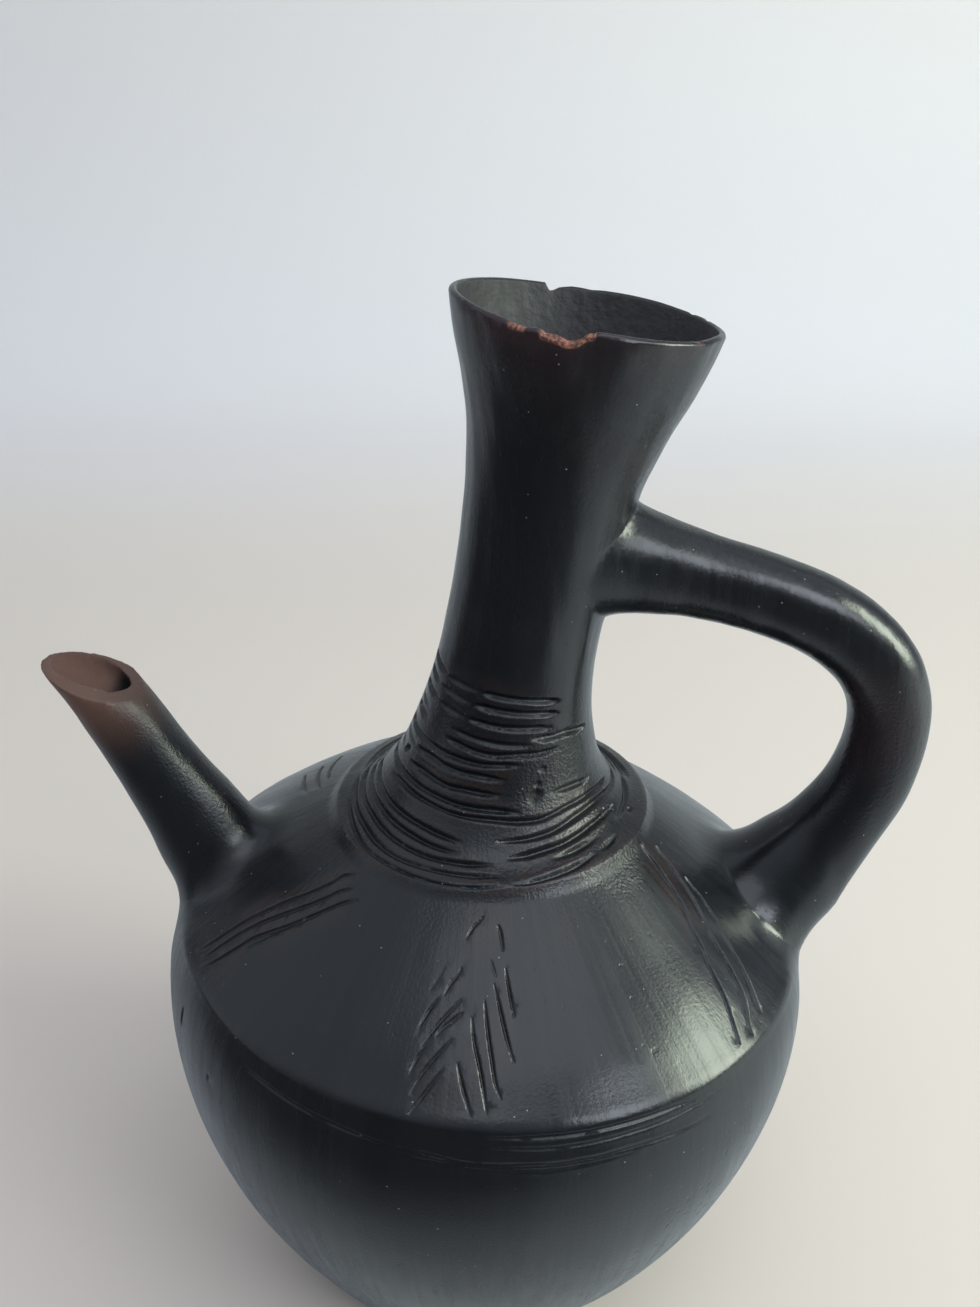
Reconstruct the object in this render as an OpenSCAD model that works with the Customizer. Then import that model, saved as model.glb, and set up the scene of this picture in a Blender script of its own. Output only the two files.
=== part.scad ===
// Clay coffee pot, built by hand from one piece of black fired clay.
// Round belly on a flat foot, leaning neck with a ringed collar, open mouth,
// hollow spout with a slanted lip and one loop handle.
// Millimetres. The foot stands on Z = 0, the spout points to -X, the handle to +X.

/* [Body] */
// Radius of the belly where it is widest
belly_r = 78; // [70:1:86]
// Radius of the flat foot
foot_r = 44.5; // [38:0.5:52]
// Height of the widest part of the belly
belly_z = 84; // [76:1:92]
// Height of the rounded edge between belly and shoulder
edge_z = 103; // [99:1:108]
// How far the body leans to the handle side, in degrees
body_tilt = 3.6; // [0:0.2:5]
// Thickness of the clay in belly and shoulder
wall = 5.5; // [4:0.5:7]
// Thickness of the floor over the foot
floor_t = 8; // [7:0.5:11]

/* [Collar] */
// Radius of the collar where it stands on the shoulder
collar_r = 35.2; // [32:0.2:38]
// Height of the collar's foot above the table
collar_z = 134; // [131:0.5:138]
// Height of the ringed part of the collar
collar_h = 35; // [31:0.2:39]
// Depth of the ring grooves
ring_depth = 0.9; // [0.5:0.1:1.3]

/* [Neck] */
// Radius of the neck at its narrow waist
waist_r = 16.9; // [15:0.1:19]
// Outer radius of the mouth
mouth_r = 27.9; // [24:0.1:32]
// Length of the neck from collar foot to rim
neck_len = 113; // [100:1:126]
// Lean of the neck to the handle side, in degrees
neck_lean = 9.75; // [4:0.25:13]
// Thickness of the clay in the neck
neck_wall = 4.4; // [3.4:0.2:5.6]
// Thickness of the lip at the rim
lip_t = 2; // [1.8:0.1:3.4]

/* [Spout] */
// Height of the spout's tip above the table
spout_z = 166; // [156:1:176]
// Distance of the spout's tip from the middle
spout_x = 89; // [84:0.5:94]
// Outer diameter of the spout below the tip
spout_d = 17; // [15.5:0.5:20]
// Diameter of the bore through the spout
spout_bore = 11; // [8:0.5:12]
// Diameter of the trough in which the bore ends at the tip
spout_lip = 14.2; // [12:0.2:15]
// Slope of the cut at the tip, in degrees
spout_cut = 19; // [8:1:28]

/* [Handle] */
// Thickness of the handle in its round part
handle_d = 18.4; // [16:0.2:21]
// Distance from the middle to the outer bend, at the handle's centre line
handle_reach = 92.5; // [87:0.5:98]
// Height of the outer bend
handle_z = 152; // [146:1:158]
// Distance along the neck to the upper join
handle_join = 60; // [55:1:65]

/* [Marks] */
// Depth of the cut strokes on the shoulder
stroke_depth = 0.7; // [0.4:0.1:1]
// Width of the cut strokes
stroke_w = 1.2; // [0.8:0.1:1.6]

/* [Hidden] */
$fn = 96;
neck_x = 1;
body_x = -1.3;
tilt_z = 70;
edge_r = belly_r - 3.2;
shoulder_r = collar_r + 6.7;
shoulder_z = collar_z - 6.9;
ring_steps = [1.7, 1.9, 1.9, 3.5, 1.7, 3, 3.4, 2.4, 2.9, 2.6, 3.5, 3.4, 3];
steps_sum = total(ring_steps, len(ring_steps));
ring_at = [for (i = [0:len(ring_steps)]) collar_h * total(ring_steps, i) / steps_sum - 0.4];
ring_top = ring_at[len(ring_steps)];

// Helpers

function total(v, n) = n <= 0 ? 0 : v[n - 1] + total(v, n - 1);
function unit(v) = v / norm(v);
function turn(a) = [[cos(a), 0, sin(a)], [0, 1, 0], [-sin(a), 0, cos(a)]];

// Point on a cubic curve with four control points
function bend(p, t) =
    pow(1 - t, 3) * p[0] + 3 * t * pow(1 - t, 2) * p[1]
    + 3 * t * t * (1 - t) * p[2] + t * t * t * p[3];

// Smooth value between the items of a list, u from 0 to 1
function along(v, u) =
    let (m = (len(v) - 1) * min(max(u, 0), 0.9999), i = floor(m), f = m - i,
         a = v[max(i - 1, 0)], b = v[i], c = v[i + 1], d = v[min(i + 2, len(v) - 1)])
    0.5 * (2 * b + (c - a) * f + (2 * a - 5 * b + 4 * c - d) * f * f
    + (3 * b - a - 3 * c + d) * f * f * f);

// Outline of the body, radius and height

function belly_at(z) = belly_r - (belly_r - foot_r) * pow((belly_z - z) / belly_z, 1.8);

belly_line = [for (i = [0:16]) let (z = belly_z * i / 16) [belly_at(z), z]];
// The belly rises to a crisp ridge, rounded by about 2 mm, where the shoulder starts
below_ridge = [[belly_r, belly_z], [belly_r, belly_z + 0.47 * (edge_z - belly_z)],
    [edge_r + 1.8, belly_z + 0.77 * (edge_z - belly_z)], [edge_r + 0.1, edge_z]];
on_ridge = [[edge_r + 0.1, edge_z], [edge_r - 0.2, edge_z + 0.8], [edge_r - 0.7, edge_z + 1.5],
    [edge_r - 1.5, edge_z + 2.2]];
above_ridge = [[edge_r - 1.5, edge_z + 2.2], [edge_r - 3.3, edge_z + 3.8],
    [edge_r - 5.6, edge_z + 5.8], [edge_r - 7.5, edge_z + 7.4]];
edge_line = concat([for (i = [1:8]) bend(below_ridge, i / 8)],
    [for (i = [1:4]) bend(on_ridge, i / 4)], [for (i = [1:3]) bend(above_ridge, i / 3)]);
// Inside the ridge is a wide round hollow
inside_curve = [[belly_r, belly_z], [belly_r, edge_z - 4], [edge_r + 0.6, edge_z + 1],
    [edge_r - 7.5, edge_z + 7.4]];
inside_edge = [for (i = [1:12]) bend(inside_curve, i / 12)];
shoulder_curve = [[edge_r - 7.5, edge_z + 7.4], [edge_r - 15, edge_z + 13.2],
    [shoulder_r + 8, shoulder_z - 4.4], [shoulder_r, shoulder_z]];
shoulder_line = [for (i = [1:6]) bend(shoulder_curve, i / 6)];
foot_line = [[belly_at(0) - 6, -9], [belly_at(0) - 3, -4.5]];
shell_line = concat(belly_line, edge_line, shoulder_line);
// Where the shoulder turns up into the collar
collar_foot = [[collar_r + 1.2, collar_z - 1.6], [collar_r - 4, collar_z + 1.5]];

// Inner outline: each point moved in by the wall along the outline's normal
function moved_in(v, i, t) =
    let (a = v[max(i - 1, 0)], b = v[min(i + 1, len(v) - 1)], d = unit(b - a))
    v[i] - t * [d[1], -d[0]];
inside_shell = concat(belly_line, inside_edge, shoulder_line);
inner_line = [for (i = [0:len(inside_shell) - 1]) let (q = moved_in(inside_shell, i, wall))
    if (q[1] > floor_t + 3) q];

module tilted_body() {
    translate([body_x, 0, tilt_z]) rotate([0, body_tilt, 0]) translate([0, 0, -tilt_z])
        children();
}

module body_outside() {
    rotate_extrude()
        polygon(concat([[0, -9]], foot_line, shell_line, collar_foot,
            [[0, collar_z + 1.5]]));
}

module body_inside() {
    last = inner_line[len(inner_line) - 1];
    rotate_extrude()
        polygon(concat([[0, floor_t], [belly_at(floor_t) - wall - 5, floor_t]], inner_line,
            [[last[0] - 13, last[1] + 7], [0, last[1] + 7]]));
}

// Neck and collar share one leaning axis that starts at the collar's foot

function axis_at(s) = [neck_x + s * sin(neck_lean), collar_z + s * cos(neck_lean)];
function flare(s) = waist_r + (collar_r - waist_r) * (0.157 * exp(-s / 1.5) + 0.843 * exp(-s / 12.5));
function rise(s) = (mouth_r - waist_r) * pow(max(0, s - 38) / (neck_len - 38), 2.8);
function neck_r(s) = flare(s) + rise(s);
function ring_tilt(s) = neck_lean * min(max(s / ring_top, 0), 1) * 0.9;

module on_axis(s, lean) {
    translate([axis_at(s)[0], 0, axis_at(s)[1]]) rotate([0, lean, 0]) translate([0, 0, -s])
        children();
}

// One band of the collar between two grooves, with its own tilt
module ring_band(i) {
    a = [flare(ring_at[i]), ring_at[i]];
    b = [flare(ring_at[i + 1]), ring_at[i + 1]];
    d = unit(b - a);
    n = [d[1], -d[0]];
    w = 0.7;
    low = a - ring_depth * n;
    high = b - ring_depth * n;
    mid = (a + b) / 2;
    // The lowest band spreads below its groove, so that it always meets the shoulder
    under = i == 0 ? low + [2.3, -4.6] : low - [2, 1];
    on_axis(mid[1], ring_tilt(mid[1]))
        rotate_extrude()
            polygon([[0, under[1]], under, low, a + w * d,
                mid + 0.25 * n, b - w * d, high, [high[0] - 3, high[1] + 0.6],
                [0, high[1] + 0.6]]);
}

module neck_outside() {
    foot = [neck_r(ring_top), ring_top];
    on_axis(ring_top, neck_lean)
        rotate_extrude()
            polygon(concat(
                [[0, ring_top - 1.2], [foot[0] - 2.4, ring_top - 1.2],
                 [foot[0] - ring_depth, ring_top]],
                [for (i = [0:26]) let (s = ring_top + 0.8 + (neck_len - 2.2 - ring_top) * i / 26)
                    [neck_r(s), s]],
                [[mouth_r - 0.25, neck_len - 0.6], [mouth_r - 0.9, neck_len - 0.1],
                 [mouth_r - lip_t / 2, neck_len], [0, neck_len]]));
}

// Bore of the neck: wide under the collar, narrow at the waist, open at the rim
function neck_wall_at(s) = neck_wall + (lip_t - neck_wall) * min(max((s - 40) / (neck_len - 40), 0), 1);
function bore_r(s) = waist_r - neck_wall_at(s) + 0.7 * (flare(s) - waist_r) + rise(s);

module neck_inside() {
    on_axis(0, neck_lean)
        rotate_extrude()
            polygon(concat(
                [[0, -9], [bore_r(2) + 4, -9], [bore_r(2) + 1, -2]],
                [for (i = [0:24]) let (s = 2 + (neck_len - 3.2) * i / 24) [bore_r(s), s]],
                [[mouth_r - lip_t + 0.9, neck_len - 0.1], [mouth_r - lip_t + 1.2, neck_len + 3],
                 [0, neck_len + 3]]));
}

// A round bar swept along a curve in the XZ plane.
// Each row holds the point on the curve, its direction, and the half thickness
// in the plane and across it.
module swept(rows, sides) {
    count = len(rows);
    rings = [for (q = rows) let (d = unit(q[1]), n = [d[1], 0, -d[0]])
        for (k = [0:sides - 1]) let (a = 360 * k / sides)
            [q[0][0], 0, q[0][1]] + q[2] * cos(a) * n + q[3] * sin(a) * [0, 1, 0]];
    polyhedron(rings, concat(
        [[for (k = [0:sides - 1]) k]],
        [for (i = [0:count - 2]) for (k = [0:sides - 1]) let (m = (k + 1) % sides)
            [i * sides + k, (i + 1) * sides + k, (i + 1) * sides + m, i * sides + m]],
        [[for (k = [sides - 1:-1:0]) (count - 1) * sides + k]]));
}

// Handle: two curves that meet at the outer bend

handle_start = axis_at(handle_join) + [8, 0.5];
handle_bend = [handle_reach, handle_z];
handle_end = [edge_r - 12, edge_z - 1];
handle_top = [handle_start, [handle_start[0] + 34, handle_start[1] - 4],
    [handle_reach, handle_z + 29], handle_bend];
handle_low = [handle_bend, [handle_reach, handle_z - 18],
    [handle_end[0] + 19, handle_end[1] + 17], handle_end];
handle_size = [1.42, 1.05, 0.95, 0.95, 1, 1, 1, 1.02, 1.12, 1.4, 1.6];

function handle_at(u) = u < 0.5 ? bend(handle_top, 2 * u) : bend(handle_low, 2 * u - 1);

module handle() {
    steps = 34;
    swept([for (i = [0:steps]) let (u = i / steps, h = along(handle_size, u) * handle_d / 2)
        [handle_at(u), handle_at(min(u + 0.01, 1)) - handle_at(max(u - 0.01, 0)), h, h * 0.96]], 24);
}

// Spout: a curved tube with a wide root, cut by a slanted plane at the tip

spout_tip = [-spout_x, spout_z];
spout_root = [-(edge_r - 22), edge_z - 4];
spout_curve = [spout_root, [-(edge_r - 3), edge_z + 15], spout_tip + [10, -20], spout_tip];
spout_dir = unit(spout_tip - spout_curve[2]);
spout_size = [2.1, 1.8, 1.4, 1.18, 1.08, 1.03, 1, 0.98];

function spout_at(u) = u <= 1 ? bend(spout_curve, u) : spout_tip + (u - 1) * 60 * spout_dir;

module spout_outside() {
    steps = 28;
    swept([for (i = [0:steps]) let (u = 1.25 * i / steps, h = along(spout_size, u) * spout_d / 2)
        [spout_at(u), spout_at(u + 0.01) - spout_at(max(u - 0.01, 0)), h, h]], 24);
}

module spout_inside() {
    steps = 20;
    swept([for (i = [0:steps]) let (u = -0.02 + 1.4 * i / steps,
            h = spout_bore / 2 * (1 + 0.5 * pow(max(0, 1 - u * 1.6), 2))
                + (spout_lip - spout_bore) / 2 * pow(min(max((u - 0.7) / 0.3, 0), 1.1), 2))
        [u < 0 ? spout_at(0) + [6, -8] : spout_at(u),
         u < 0 ? spout_at(0.01) - spout_at(0) : spout_at(u + 0.01) - spout_at(max(u - 0.01, 0)),
         h, h]], 20);
}

module spout_cut_block() {
    translate([spout_tip[0], 0, spout_tip[1] - 1]) rotate([0, spout_cut, 0])
        translate([-24, -30, 0]) cube([48, 60, 40]);
}

// Worn places of the rim: a chipped stretch in front and a notch behind

module rim_nick(angle, across, deep, size) {
    on_axis(neck_len, neck_lean)
        rotate([0, 0, angle]) translate([mouth_r - lip_t / 2 + across, 0, neck_len - deep + size])
            sphere(size, $fn = 32);
}

module rim_wear() {
    rim_nick(-122, 1.8, 1.2, 5);
    rim_nick(-109, 1.2, 1.9, 6);
    rim_nick(-97, 1.4, 1.6, 5);
    rim_nick(-88, 1, 2.2, 4);
    on_axis(neck_len, neck_lean)
        rotate([0, 0, 104]) translate([mouth_r - 8, -2.8, neck_len - 1.9]) cube([12, 5.6, 6]);
}

// Strokes cut into the shoulder. Each end is given as the angle round the body
// and the radius at which it lies on the shoulder.

shoulder_table = [for (p = concat(edge_line, shoulder_line, collar_foot)) if (p[0] < edge_r) p];

function on_shoulder(a, r) = [r * cos(a), r * sin(a), lookup(r, shoulder_table)];
function slope_at(a, r) = let (d = unit([4, lookup(r + 2, shoulder_table) - lookup(r - 2, shoulder_table)]))
    [-d[1] * cos(a), -d[1] * sin(a), d[0]];

module stroke(p, q) {
    a = on_shoulder(p[0], p[1]);
    b = on_shoulder(q[0], q[1]);
    x = unit(b - a);
    up = slope_at((p[0] + q[0]) / 2, (p[1] + q[1]) / 2);
    y = unit(cross(up, x));
    z = cross(x, y);
    half = norm(b - a) / 2 + 0.3;
    c = (a + b) / 2;
    multmatrix([[x[0], y[0], z[0], c[0]], [x[1], y[1], z[1], c[1]], [x[2], y[2], z[2], c[2]],
        [0, 0, 0, 1]])
        rotate([90, 0, 90]) translate([0, 0, -half]) linear_extrude(2 * half)
            polygon([[-stroke_w, stroke_depth], [0, -stroke_depth], [stroke_w, stroke_depth]]);
}

module stroke_line(v) {
    for (i = [0:len(v) - 2]) stroke(v[i], v[i + 1]);
}

// Front fan: short strokes on the left, longer ones on the right
fan_left = [[-97.4, 46.6, -93.9, 42.7], [-103.6, 56.5, -101.9, 52.8], [-100.4, 56.5, -97.5, 52.1],
    [-103.9, 62.7, -101.5, 57.8], [-102.7, 65.6, -97.2, 57.3], [-103.6, 69.4, -101.2, 65.2],
    [-102.7, 71.5, -98.2, 63.9]];
fan_right = [[-89.6, 43.9, -88.5, 47.7], [-87.8, 51.1, -86.1, 59.5], [-90.4, 54, -86.5, 66.5],
    [-92.1, 56.8, -89.1, 71], [-94.1, 60.3, -90.9, 72]];
// Three long lines on the spout side, three on the handle side, three short ones behind
side_lines = [
    [[-137.3, 42.5], [-146.5, 56], [-155.1, 71]], [[-134.5, 45], [-144.3, 57], [-153, 71]],
    [[-130.8, 46], [-141.5, 58], [-150, 71.5]],
    [[-29, 42], [-33.3, 48.8], [-39.4, 59.8], [-43.2, 71]],
    [[-23.8, 40.5], [-25.6, 46.6], [-33.2, 58.9], [-39, 71]],
    [[-24.5, 46.3], [-28.4, 54.2], [-30.8, 62.3], [-34.7, 71]],
    [[152, 56], [168, 46.5]], [[148, 53], [164, 43.5]], [[143, 51], [159, 42.7]]];

module strokes() {
    k = edge_r / 74.8;
    for (v = concat(fan_left, fan_right)) stroke([v[0], k * v[1]], [v[2], k * v[3]]);
    for (v = side_lines) stroke_line([for (p = v) [p[0], k * p[1]]]);
}

// The pot

module coffee_pot() {
    color("#26262b")
    difference() {
        union() {
            tilted_body() body_outside();
            for (i = [0:len(ring_steps) - 1]) ring_band(i);
            neck_outside();
            handle();
            spout_outside();
        }
        tilted_body() body_inside();
        neck_inside();
        spout_inside();
        spout_cut_block();
        rim_wear();
        tilted_body() strokes();
        translate([0, 0, -25]) cube([260, 260, 50], center = true);
    }
}

coffee_pot();
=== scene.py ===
import math

import bmesh
import bpy
import numpy as np
from bpy.props import FloatProperty, FloatVectorProperty, IntProperty, PointerProperty
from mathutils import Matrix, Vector


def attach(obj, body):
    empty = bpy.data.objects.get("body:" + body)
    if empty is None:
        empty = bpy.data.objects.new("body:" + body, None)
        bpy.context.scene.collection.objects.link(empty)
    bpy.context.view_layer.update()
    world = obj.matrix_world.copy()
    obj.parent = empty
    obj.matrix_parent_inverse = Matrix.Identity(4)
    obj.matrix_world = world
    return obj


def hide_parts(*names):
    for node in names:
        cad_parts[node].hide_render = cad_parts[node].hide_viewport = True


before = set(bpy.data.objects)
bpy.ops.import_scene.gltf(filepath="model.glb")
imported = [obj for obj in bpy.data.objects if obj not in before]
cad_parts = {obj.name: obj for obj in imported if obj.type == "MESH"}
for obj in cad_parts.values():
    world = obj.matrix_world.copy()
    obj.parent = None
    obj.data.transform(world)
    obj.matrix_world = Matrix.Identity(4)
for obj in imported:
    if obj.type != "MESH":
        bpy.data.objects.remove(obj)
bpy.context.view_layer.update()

bl_info = {
    "name": "Clay coffee pot",
    "version": (1, 0, 0),
    "blender": (4, 5, 0),
    "location": "View3D > Sidebar > Coffee pot",
    "description": "Builds a burnished black clay coffee pot with a ringed collar, spout and handle",
    "category": "Object",
}

MM = 0.001
PIECE_NAME = "coffee_pot_clay"
# The mesh is thinned out to the second count when it has more triangles than the first
TRIANGLE_LIMIT = 190000
TRIANGLE_AIM = 186000

# Sizes in millimetres and degrees

# The belly leans about a point at this height, and its axis passes the middle at this distance
BODY_TILT = 3.6
TILT_Z = 70.0
BODY_X = -1.3
WIDEST_Z = 84.0
BELLY_WALL = 5.5
# Foot of the neck's axis, and rounding of the lip
NECK_X = 1.0
COLLAR_Z = 134.0
LIP = 0.9
# Distance along the neck of the handle's upper join
HANDLE_S = 60.0
SPOUT_TIP = (-89.0, 166.0)
# Length of the spout beyond its tip, which the slanted cut takes off
PAST_TIP = 18.0
# Measured along the neck: radii and sideways bow in millimetres
NECK_AT = (0, 10, 15, 20, 25, 30, 35, 40, 50, 60, 70, 75, 80, 85, 90, 97, 105, 109, 113)
NECK_RADII = (30, 24.2, 22.2, 20.5, 19.2, 18.3, 17.7, 17.3, 17.05, 17.3, 17.8, 18.15, 18.7, 19.55, 20.7,
              22.8, 25.5, 26.7, 27.7)
SWAY_AT = (-10, 0, 8, 15, 25, 35, 45, 55, 65, 75, 80, 85, 90, 97, 105, 113)
SWAY = (0, 0.3, 0.3, 0, -0.35, -0.5, -0.6, -0.35, -0.2, -0.25, -0.35, -0.22, -0.1, -0.1, -0.3, -0.35)
RING_TOP = 34.6
# Stretches round the pot, in degrees, where strokes and pits need a finer mesh
FINE = ((-158, -129, 0.17), (-105.5, -85.5, 0.16), (-64, -57, 0.3), (-44.5, -19, 0.16), (141, 170, 0.25))


def length_property(name, description, default, low, high):
    """Property for a length in metres."""
    return FloatProperty(name=name, description=description, default=default, min=low, max=high,
                         unit="LENGTH")


def colour_property(name, description, default):
    """Property for a colour."""
    return FloatVectorProperty(name=name, description=description, default=default, size=3, min=0, max=1,
                               subtype="COLOR")


class PotSizes(bpy.types.PropertyGroup):
    """Sizes of the pot, in metres or degrees"""
    belly_radius: length_property("Belly radius", "Radius where the belly is widest", 0.078, 0.07, 0.086)
    foot_radius: length_property("Foot radius", "Radius of the flat foot", 0.0445, 0.038, 0.052)
    neck_lean: FloatProperty(name="Neck lean", description="Lean of the neck to the handle side",
                             default=math.radians(9.75), min=0.05, max=0.23, subtype="ANGLE")
    mouth_radius: length_property("Mouth radius", "Outer radius of the rim", 0.0277, 0.024, 0.031)
    ring_depth: length_property("Ring depth", "Depth of the grooves of the collar", 0.00095, 0.0, 0.0015)
    stroke_depth: length_property("Stroke depth", "Depth of the strokes on the shoulder",
                                  0.00055, 0.0, 0.0012)
    unevenness: length_property("Unevenness", "How far the hand-shaped walls wander", 0.0003, 0.0, 0.001)
    wear: FloatProperty(name="Rim wear", description="Share of the chips that the rim shows",
                        default=1.0, min=0.0, max=1.0, subtype="FACTOR")
    seed: IntProperty(name="Seed", description="Seed of the unevenness", default=7, min=0)


class PotColours(bpy.types.PropertyGroup):
    """Colours and finish of the fired clay"""
    clay: colour_property("Clay", "Smoked black of the burnished clay", (0.0065, 0.0075, 0.0095))
    brown: colour_property("Brown", "Brown that shows on edges and at the spout's tip",
                           (0.150, 0.075, 0.054))
    bare: colour_property("Bare clay", "Red clay in the chips of the rim", (0.50, 0.19, 0.115))
    gloss: FloatProperty(name="Gloss", description="How far the clay is burnished",
                         default=0.7, min=0.0, max=1.0, subtype="FACTOR")
    floor: colour_property("Floor", "Colour of the floor", (0.78, 0.69, 0.62))
    backdrop: colour_property("Backdrop", "Colour of the backdrop", (0.93, 0.90, 0.92))


# Small maths helpers

def unit(v):
    """Vector of length one, row by row."""
    return v / np.maximum(np.linalg.norm(v, axis=-1, keepdims=True), 1e-12)


def bend(p, t):
    """Points on a cubic curve with four control points."""
    p = np.asarray(p, float)
    t = np.asarray(t, float)[:, None]
    return (1 - t) ** 3 * p[0] + 3 * t * (1 - t) ** 2 * p[1] + 3 * t * t * (1 - t) * p[2] + t ** 3 * p[3]


def arc(points, count):
    """Cubic curve in even steps of its parameter, without its first point."""
    return bend(points, np.linspace(0, 1, count)[1:])


def smooth(x, low, high):
    """Smooth step from 0 at low to 1 at high."""
    t = np.clip((np.asarray(x, float) - low) / (high - low), 0, 1)
    return t * t * (3 - 2 * t)


def flowing(x, at, values):
    """Smooth curve through given values, without overshoot."""
    at, values = np.asarray(at, float), np.asarray(values, float)
    gap = np.diff(at)
    slope = np.diff(values) / gap
    inner = np.where(slope[:-1] * slope[1:] > 0,
                     2 * slope[:-1] * slope[1:] / (slope[:-1] + slope[1:] + 1e-12), 0)
    m = np.concatenate([slope[:1], inner, slope[-1:]])
    k = np.clip(np.searchsorted(at, x) - 1, 0, len(gap) - 1)
    t = np.clip((x - at[k]) / gap[k], 0, 1)
    a, b = values[k], values[k + 1]
    return a * (1 + 2 * t) * (1 - t) ** 2 + b * t * t * (3 - 2 * t) \
        + gap[k] * (m[k] * t * (1 - t) ** 2 - m[k + 1] * t * t * (1 - t))


def waves(angle, seed, count, low=1):
    """Smooth noise round a circle, from -1 to 1."""
    rng = np.random.default_rng(seed)
    total = np.zeros_like(angle)
    for k in range(low, low + count):
        total += rng.normal() * np.cos(k * angle + rng.uniform(0, 2 * math.pi)) / (k - low + 2)
    return total / 1.2


def signed_degrees(angle):
    """Angle in degrees from -180 to 180."""
    return (np.degrees(angle) + 180) % 360 - 180


def lengths(line):
    """Distance along a line at each of its points."""
    return np.concatenate([[0], np.cumsum(np.linalg.norm(np.diff(line, axis=0), axis=1))])


def points_at(line, known, at):
    """Points of a flat line where a value that is known at its own points has chosen sizes."""
    return np.stack([np.interp(at, known, line[:, k]) for k in (0, 1)], -1)


# Outline of the pot, in millimetres

def belly_line(z, radius, drop):
    """Outline of the belly up to its widest place, narrower by drop at the table."""
    return np.stack([radius - drop * ((WIDEST_Z - z) / WIDEST_Z) ** 1.8, z], -1)


class Shape:
    """Outline and axes of the pot. Radius and height as functions, height from the foot."""

    def __init__(self, sizes):
        self.belly_r = sizes.belly_radius / MM
        self.foot_r = sizes.foot_radius / MM
        self.mouth_r = sizes.mouth_radius / MM
        self.lean = sizes.neck_lean
        self.tilt = math.radians(BODY_TILT)
        self.collar_r = 35.2
        self.waist_r = 16.9
        self.neck_len = 113.0
        self.edge_r = self.belly_r - 3.2
        self.outer = self.outer_line()
        self.inner = self.inner_line()

    def neck_r(self, s):
        """Radius of collar and neck at a distance along the neck."""
        s = np.asarray(s, float)
        collar = self.waist_r + (self.collar_r - self.waist_r) * (
            0.157 * np.exp(-np.maximum(s, -1.5) / 1.5) + 0.843 * np.exp(-s / 12.5)) + 0.35 * smooth(s, 0, 6)
        neck = flowing(s, NECK_AT, NECK_RADII)
        neck = neck * (1 + (self.mouth_r / 27.7 - 1) * smooth(s, 60, 113))
        w = smooth(s, 12, 22)
        return collar * (1 - w) + neck * w

    def bore_r(self, s):
        """Radius of the bore inside the neck."""
        s = np.asarray(s, float)
        outer = self.neck_r(s)
        wall = 4.4 - 2.8 * np.clip((s - 40) / 73, 0, 1) ** 1.2
        return outer - wall - 0.3 * np.maximum(0, outer - 17.3) * (1 - smooth(s, 30, 45))

    def outer_line(self):
        """From the foot up the belly and over shoulder, collar and neck."""
        wide, er = self.belly_r, self.edge_r
        foot = np.array([[self.foot_r - 2.2, 0.0], [self.foot_r - 0.7, 0.35]])
        belly = belly_line(np.linspace(1.6, WIDEST_Z, 60), wide, wide - self.foot_r)
        below = arc([[wide, WIDEST_Z], [wide, 93], [er + 1.8, 98.6], [er + 0.1, 103]], 40)
        ridge = arc([[er + 0.1, 103], [er - 0.2, 104.2], [er - 0.9, 105.0], [er - 2.6, 106.3]], 20)
        above = arc([[er - 2.6, 106.3], [er - 4.2, 107.6], [er - 5.9, 109.1], [er - 7.5, 110.4]], 10)
        shoulder = arc([[er - 7.5, 110.4], [er - 15, 116.4], [48.6, 123.9], [39.2, 130.3]], 40)
        root = arc([[39.2, 130.3], [38.2, 131.0], [37.5, 132.1], [36.7, 133.4]], 12)
        s = np.linspace(-0.2, self.neck_len - LIP, 240)
        neck = np.stack([self.neck_r(s), COLLAR_Z + s], -1)
        return np.concatenate([foot, belly, below, ridge, above, shoulder, root, neck])

    def lip_line(self):
        """Rounded lip from the outer wall over to the bore."""
        t = np.linspace(0, math.pi, 14)[1:-1]
        outer = float(self.neck_r(self.neck_len - LIP))
        inner = float(self.bore_r(self.neck_len - LIP))
        middle = (outer + inner) / 2
        half = (outer - inner) / 2
        return np.stack([middle + half * np.cos(t),
                         COLLAR_Z + self.neck_len - LIP + LIP * np.sin(t)], -1)

    def inner_line(self):
        """From the lip down the bore and round the hollow to the middle of the floor."""
        s = np.linspace(self.neck_len - LIP, 1, 120)
        bore = np.stack([self.bore_r(s), COLLAR_Z + s], -1)
        top = bore[-1]
        er = self.edge_r
        wide = self.belly_r - BELLY_WALL
        roof = arc([top, top + [2.5, -4], [31, 127.5], [38, 122.5]], 20)
        shoulder = arc([[38, 122.5], [48, 116.5], [er - 14, 109], [er - 9, 104]], 20)
        edge = arc([[er - 9, 104], [er - 4, 99], [wide, 94], [wide, WIDEST_Z]], 14)
        belly = belly_line(np.linspace(WIDEST_Z, 13, 40)[1:], wide, self.belly_r - self.foot_r - 1)
        end = belly[-1]
        floor = arc([end, end + [-1.5, -2.5], [end[0] - 6, 8.2], [end[0] - 14, 8]], 10)
        return np.concatenate([bore, roof, shoulder, edge, belly, floor])

    def axis(self, s):
        """Point of the neck's axis."""
        s = np.asarray(s, float)
        return np.stack([NECK_X + s * math.sin(self.lean) + self.sway(s),
                         COLLAR_Z + s * math.cos(self.lean)], -1)

    def sway(self, s):
        """Small bow of the neck to one side and back."""
        return flowing(np.asarray(s, float), SWAY_AT, SWAY)

    def ring_tilt(self, s):
        """Tilt of a ring of the collar or neck, level at the foot of the collar."""
        return self.lean * np.clip(np.asarray(s, float) / RING_TOP, 0, 1) * 0.9 + \
            0.1 * self.lean * smooth(s, 30, 60)

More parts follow.
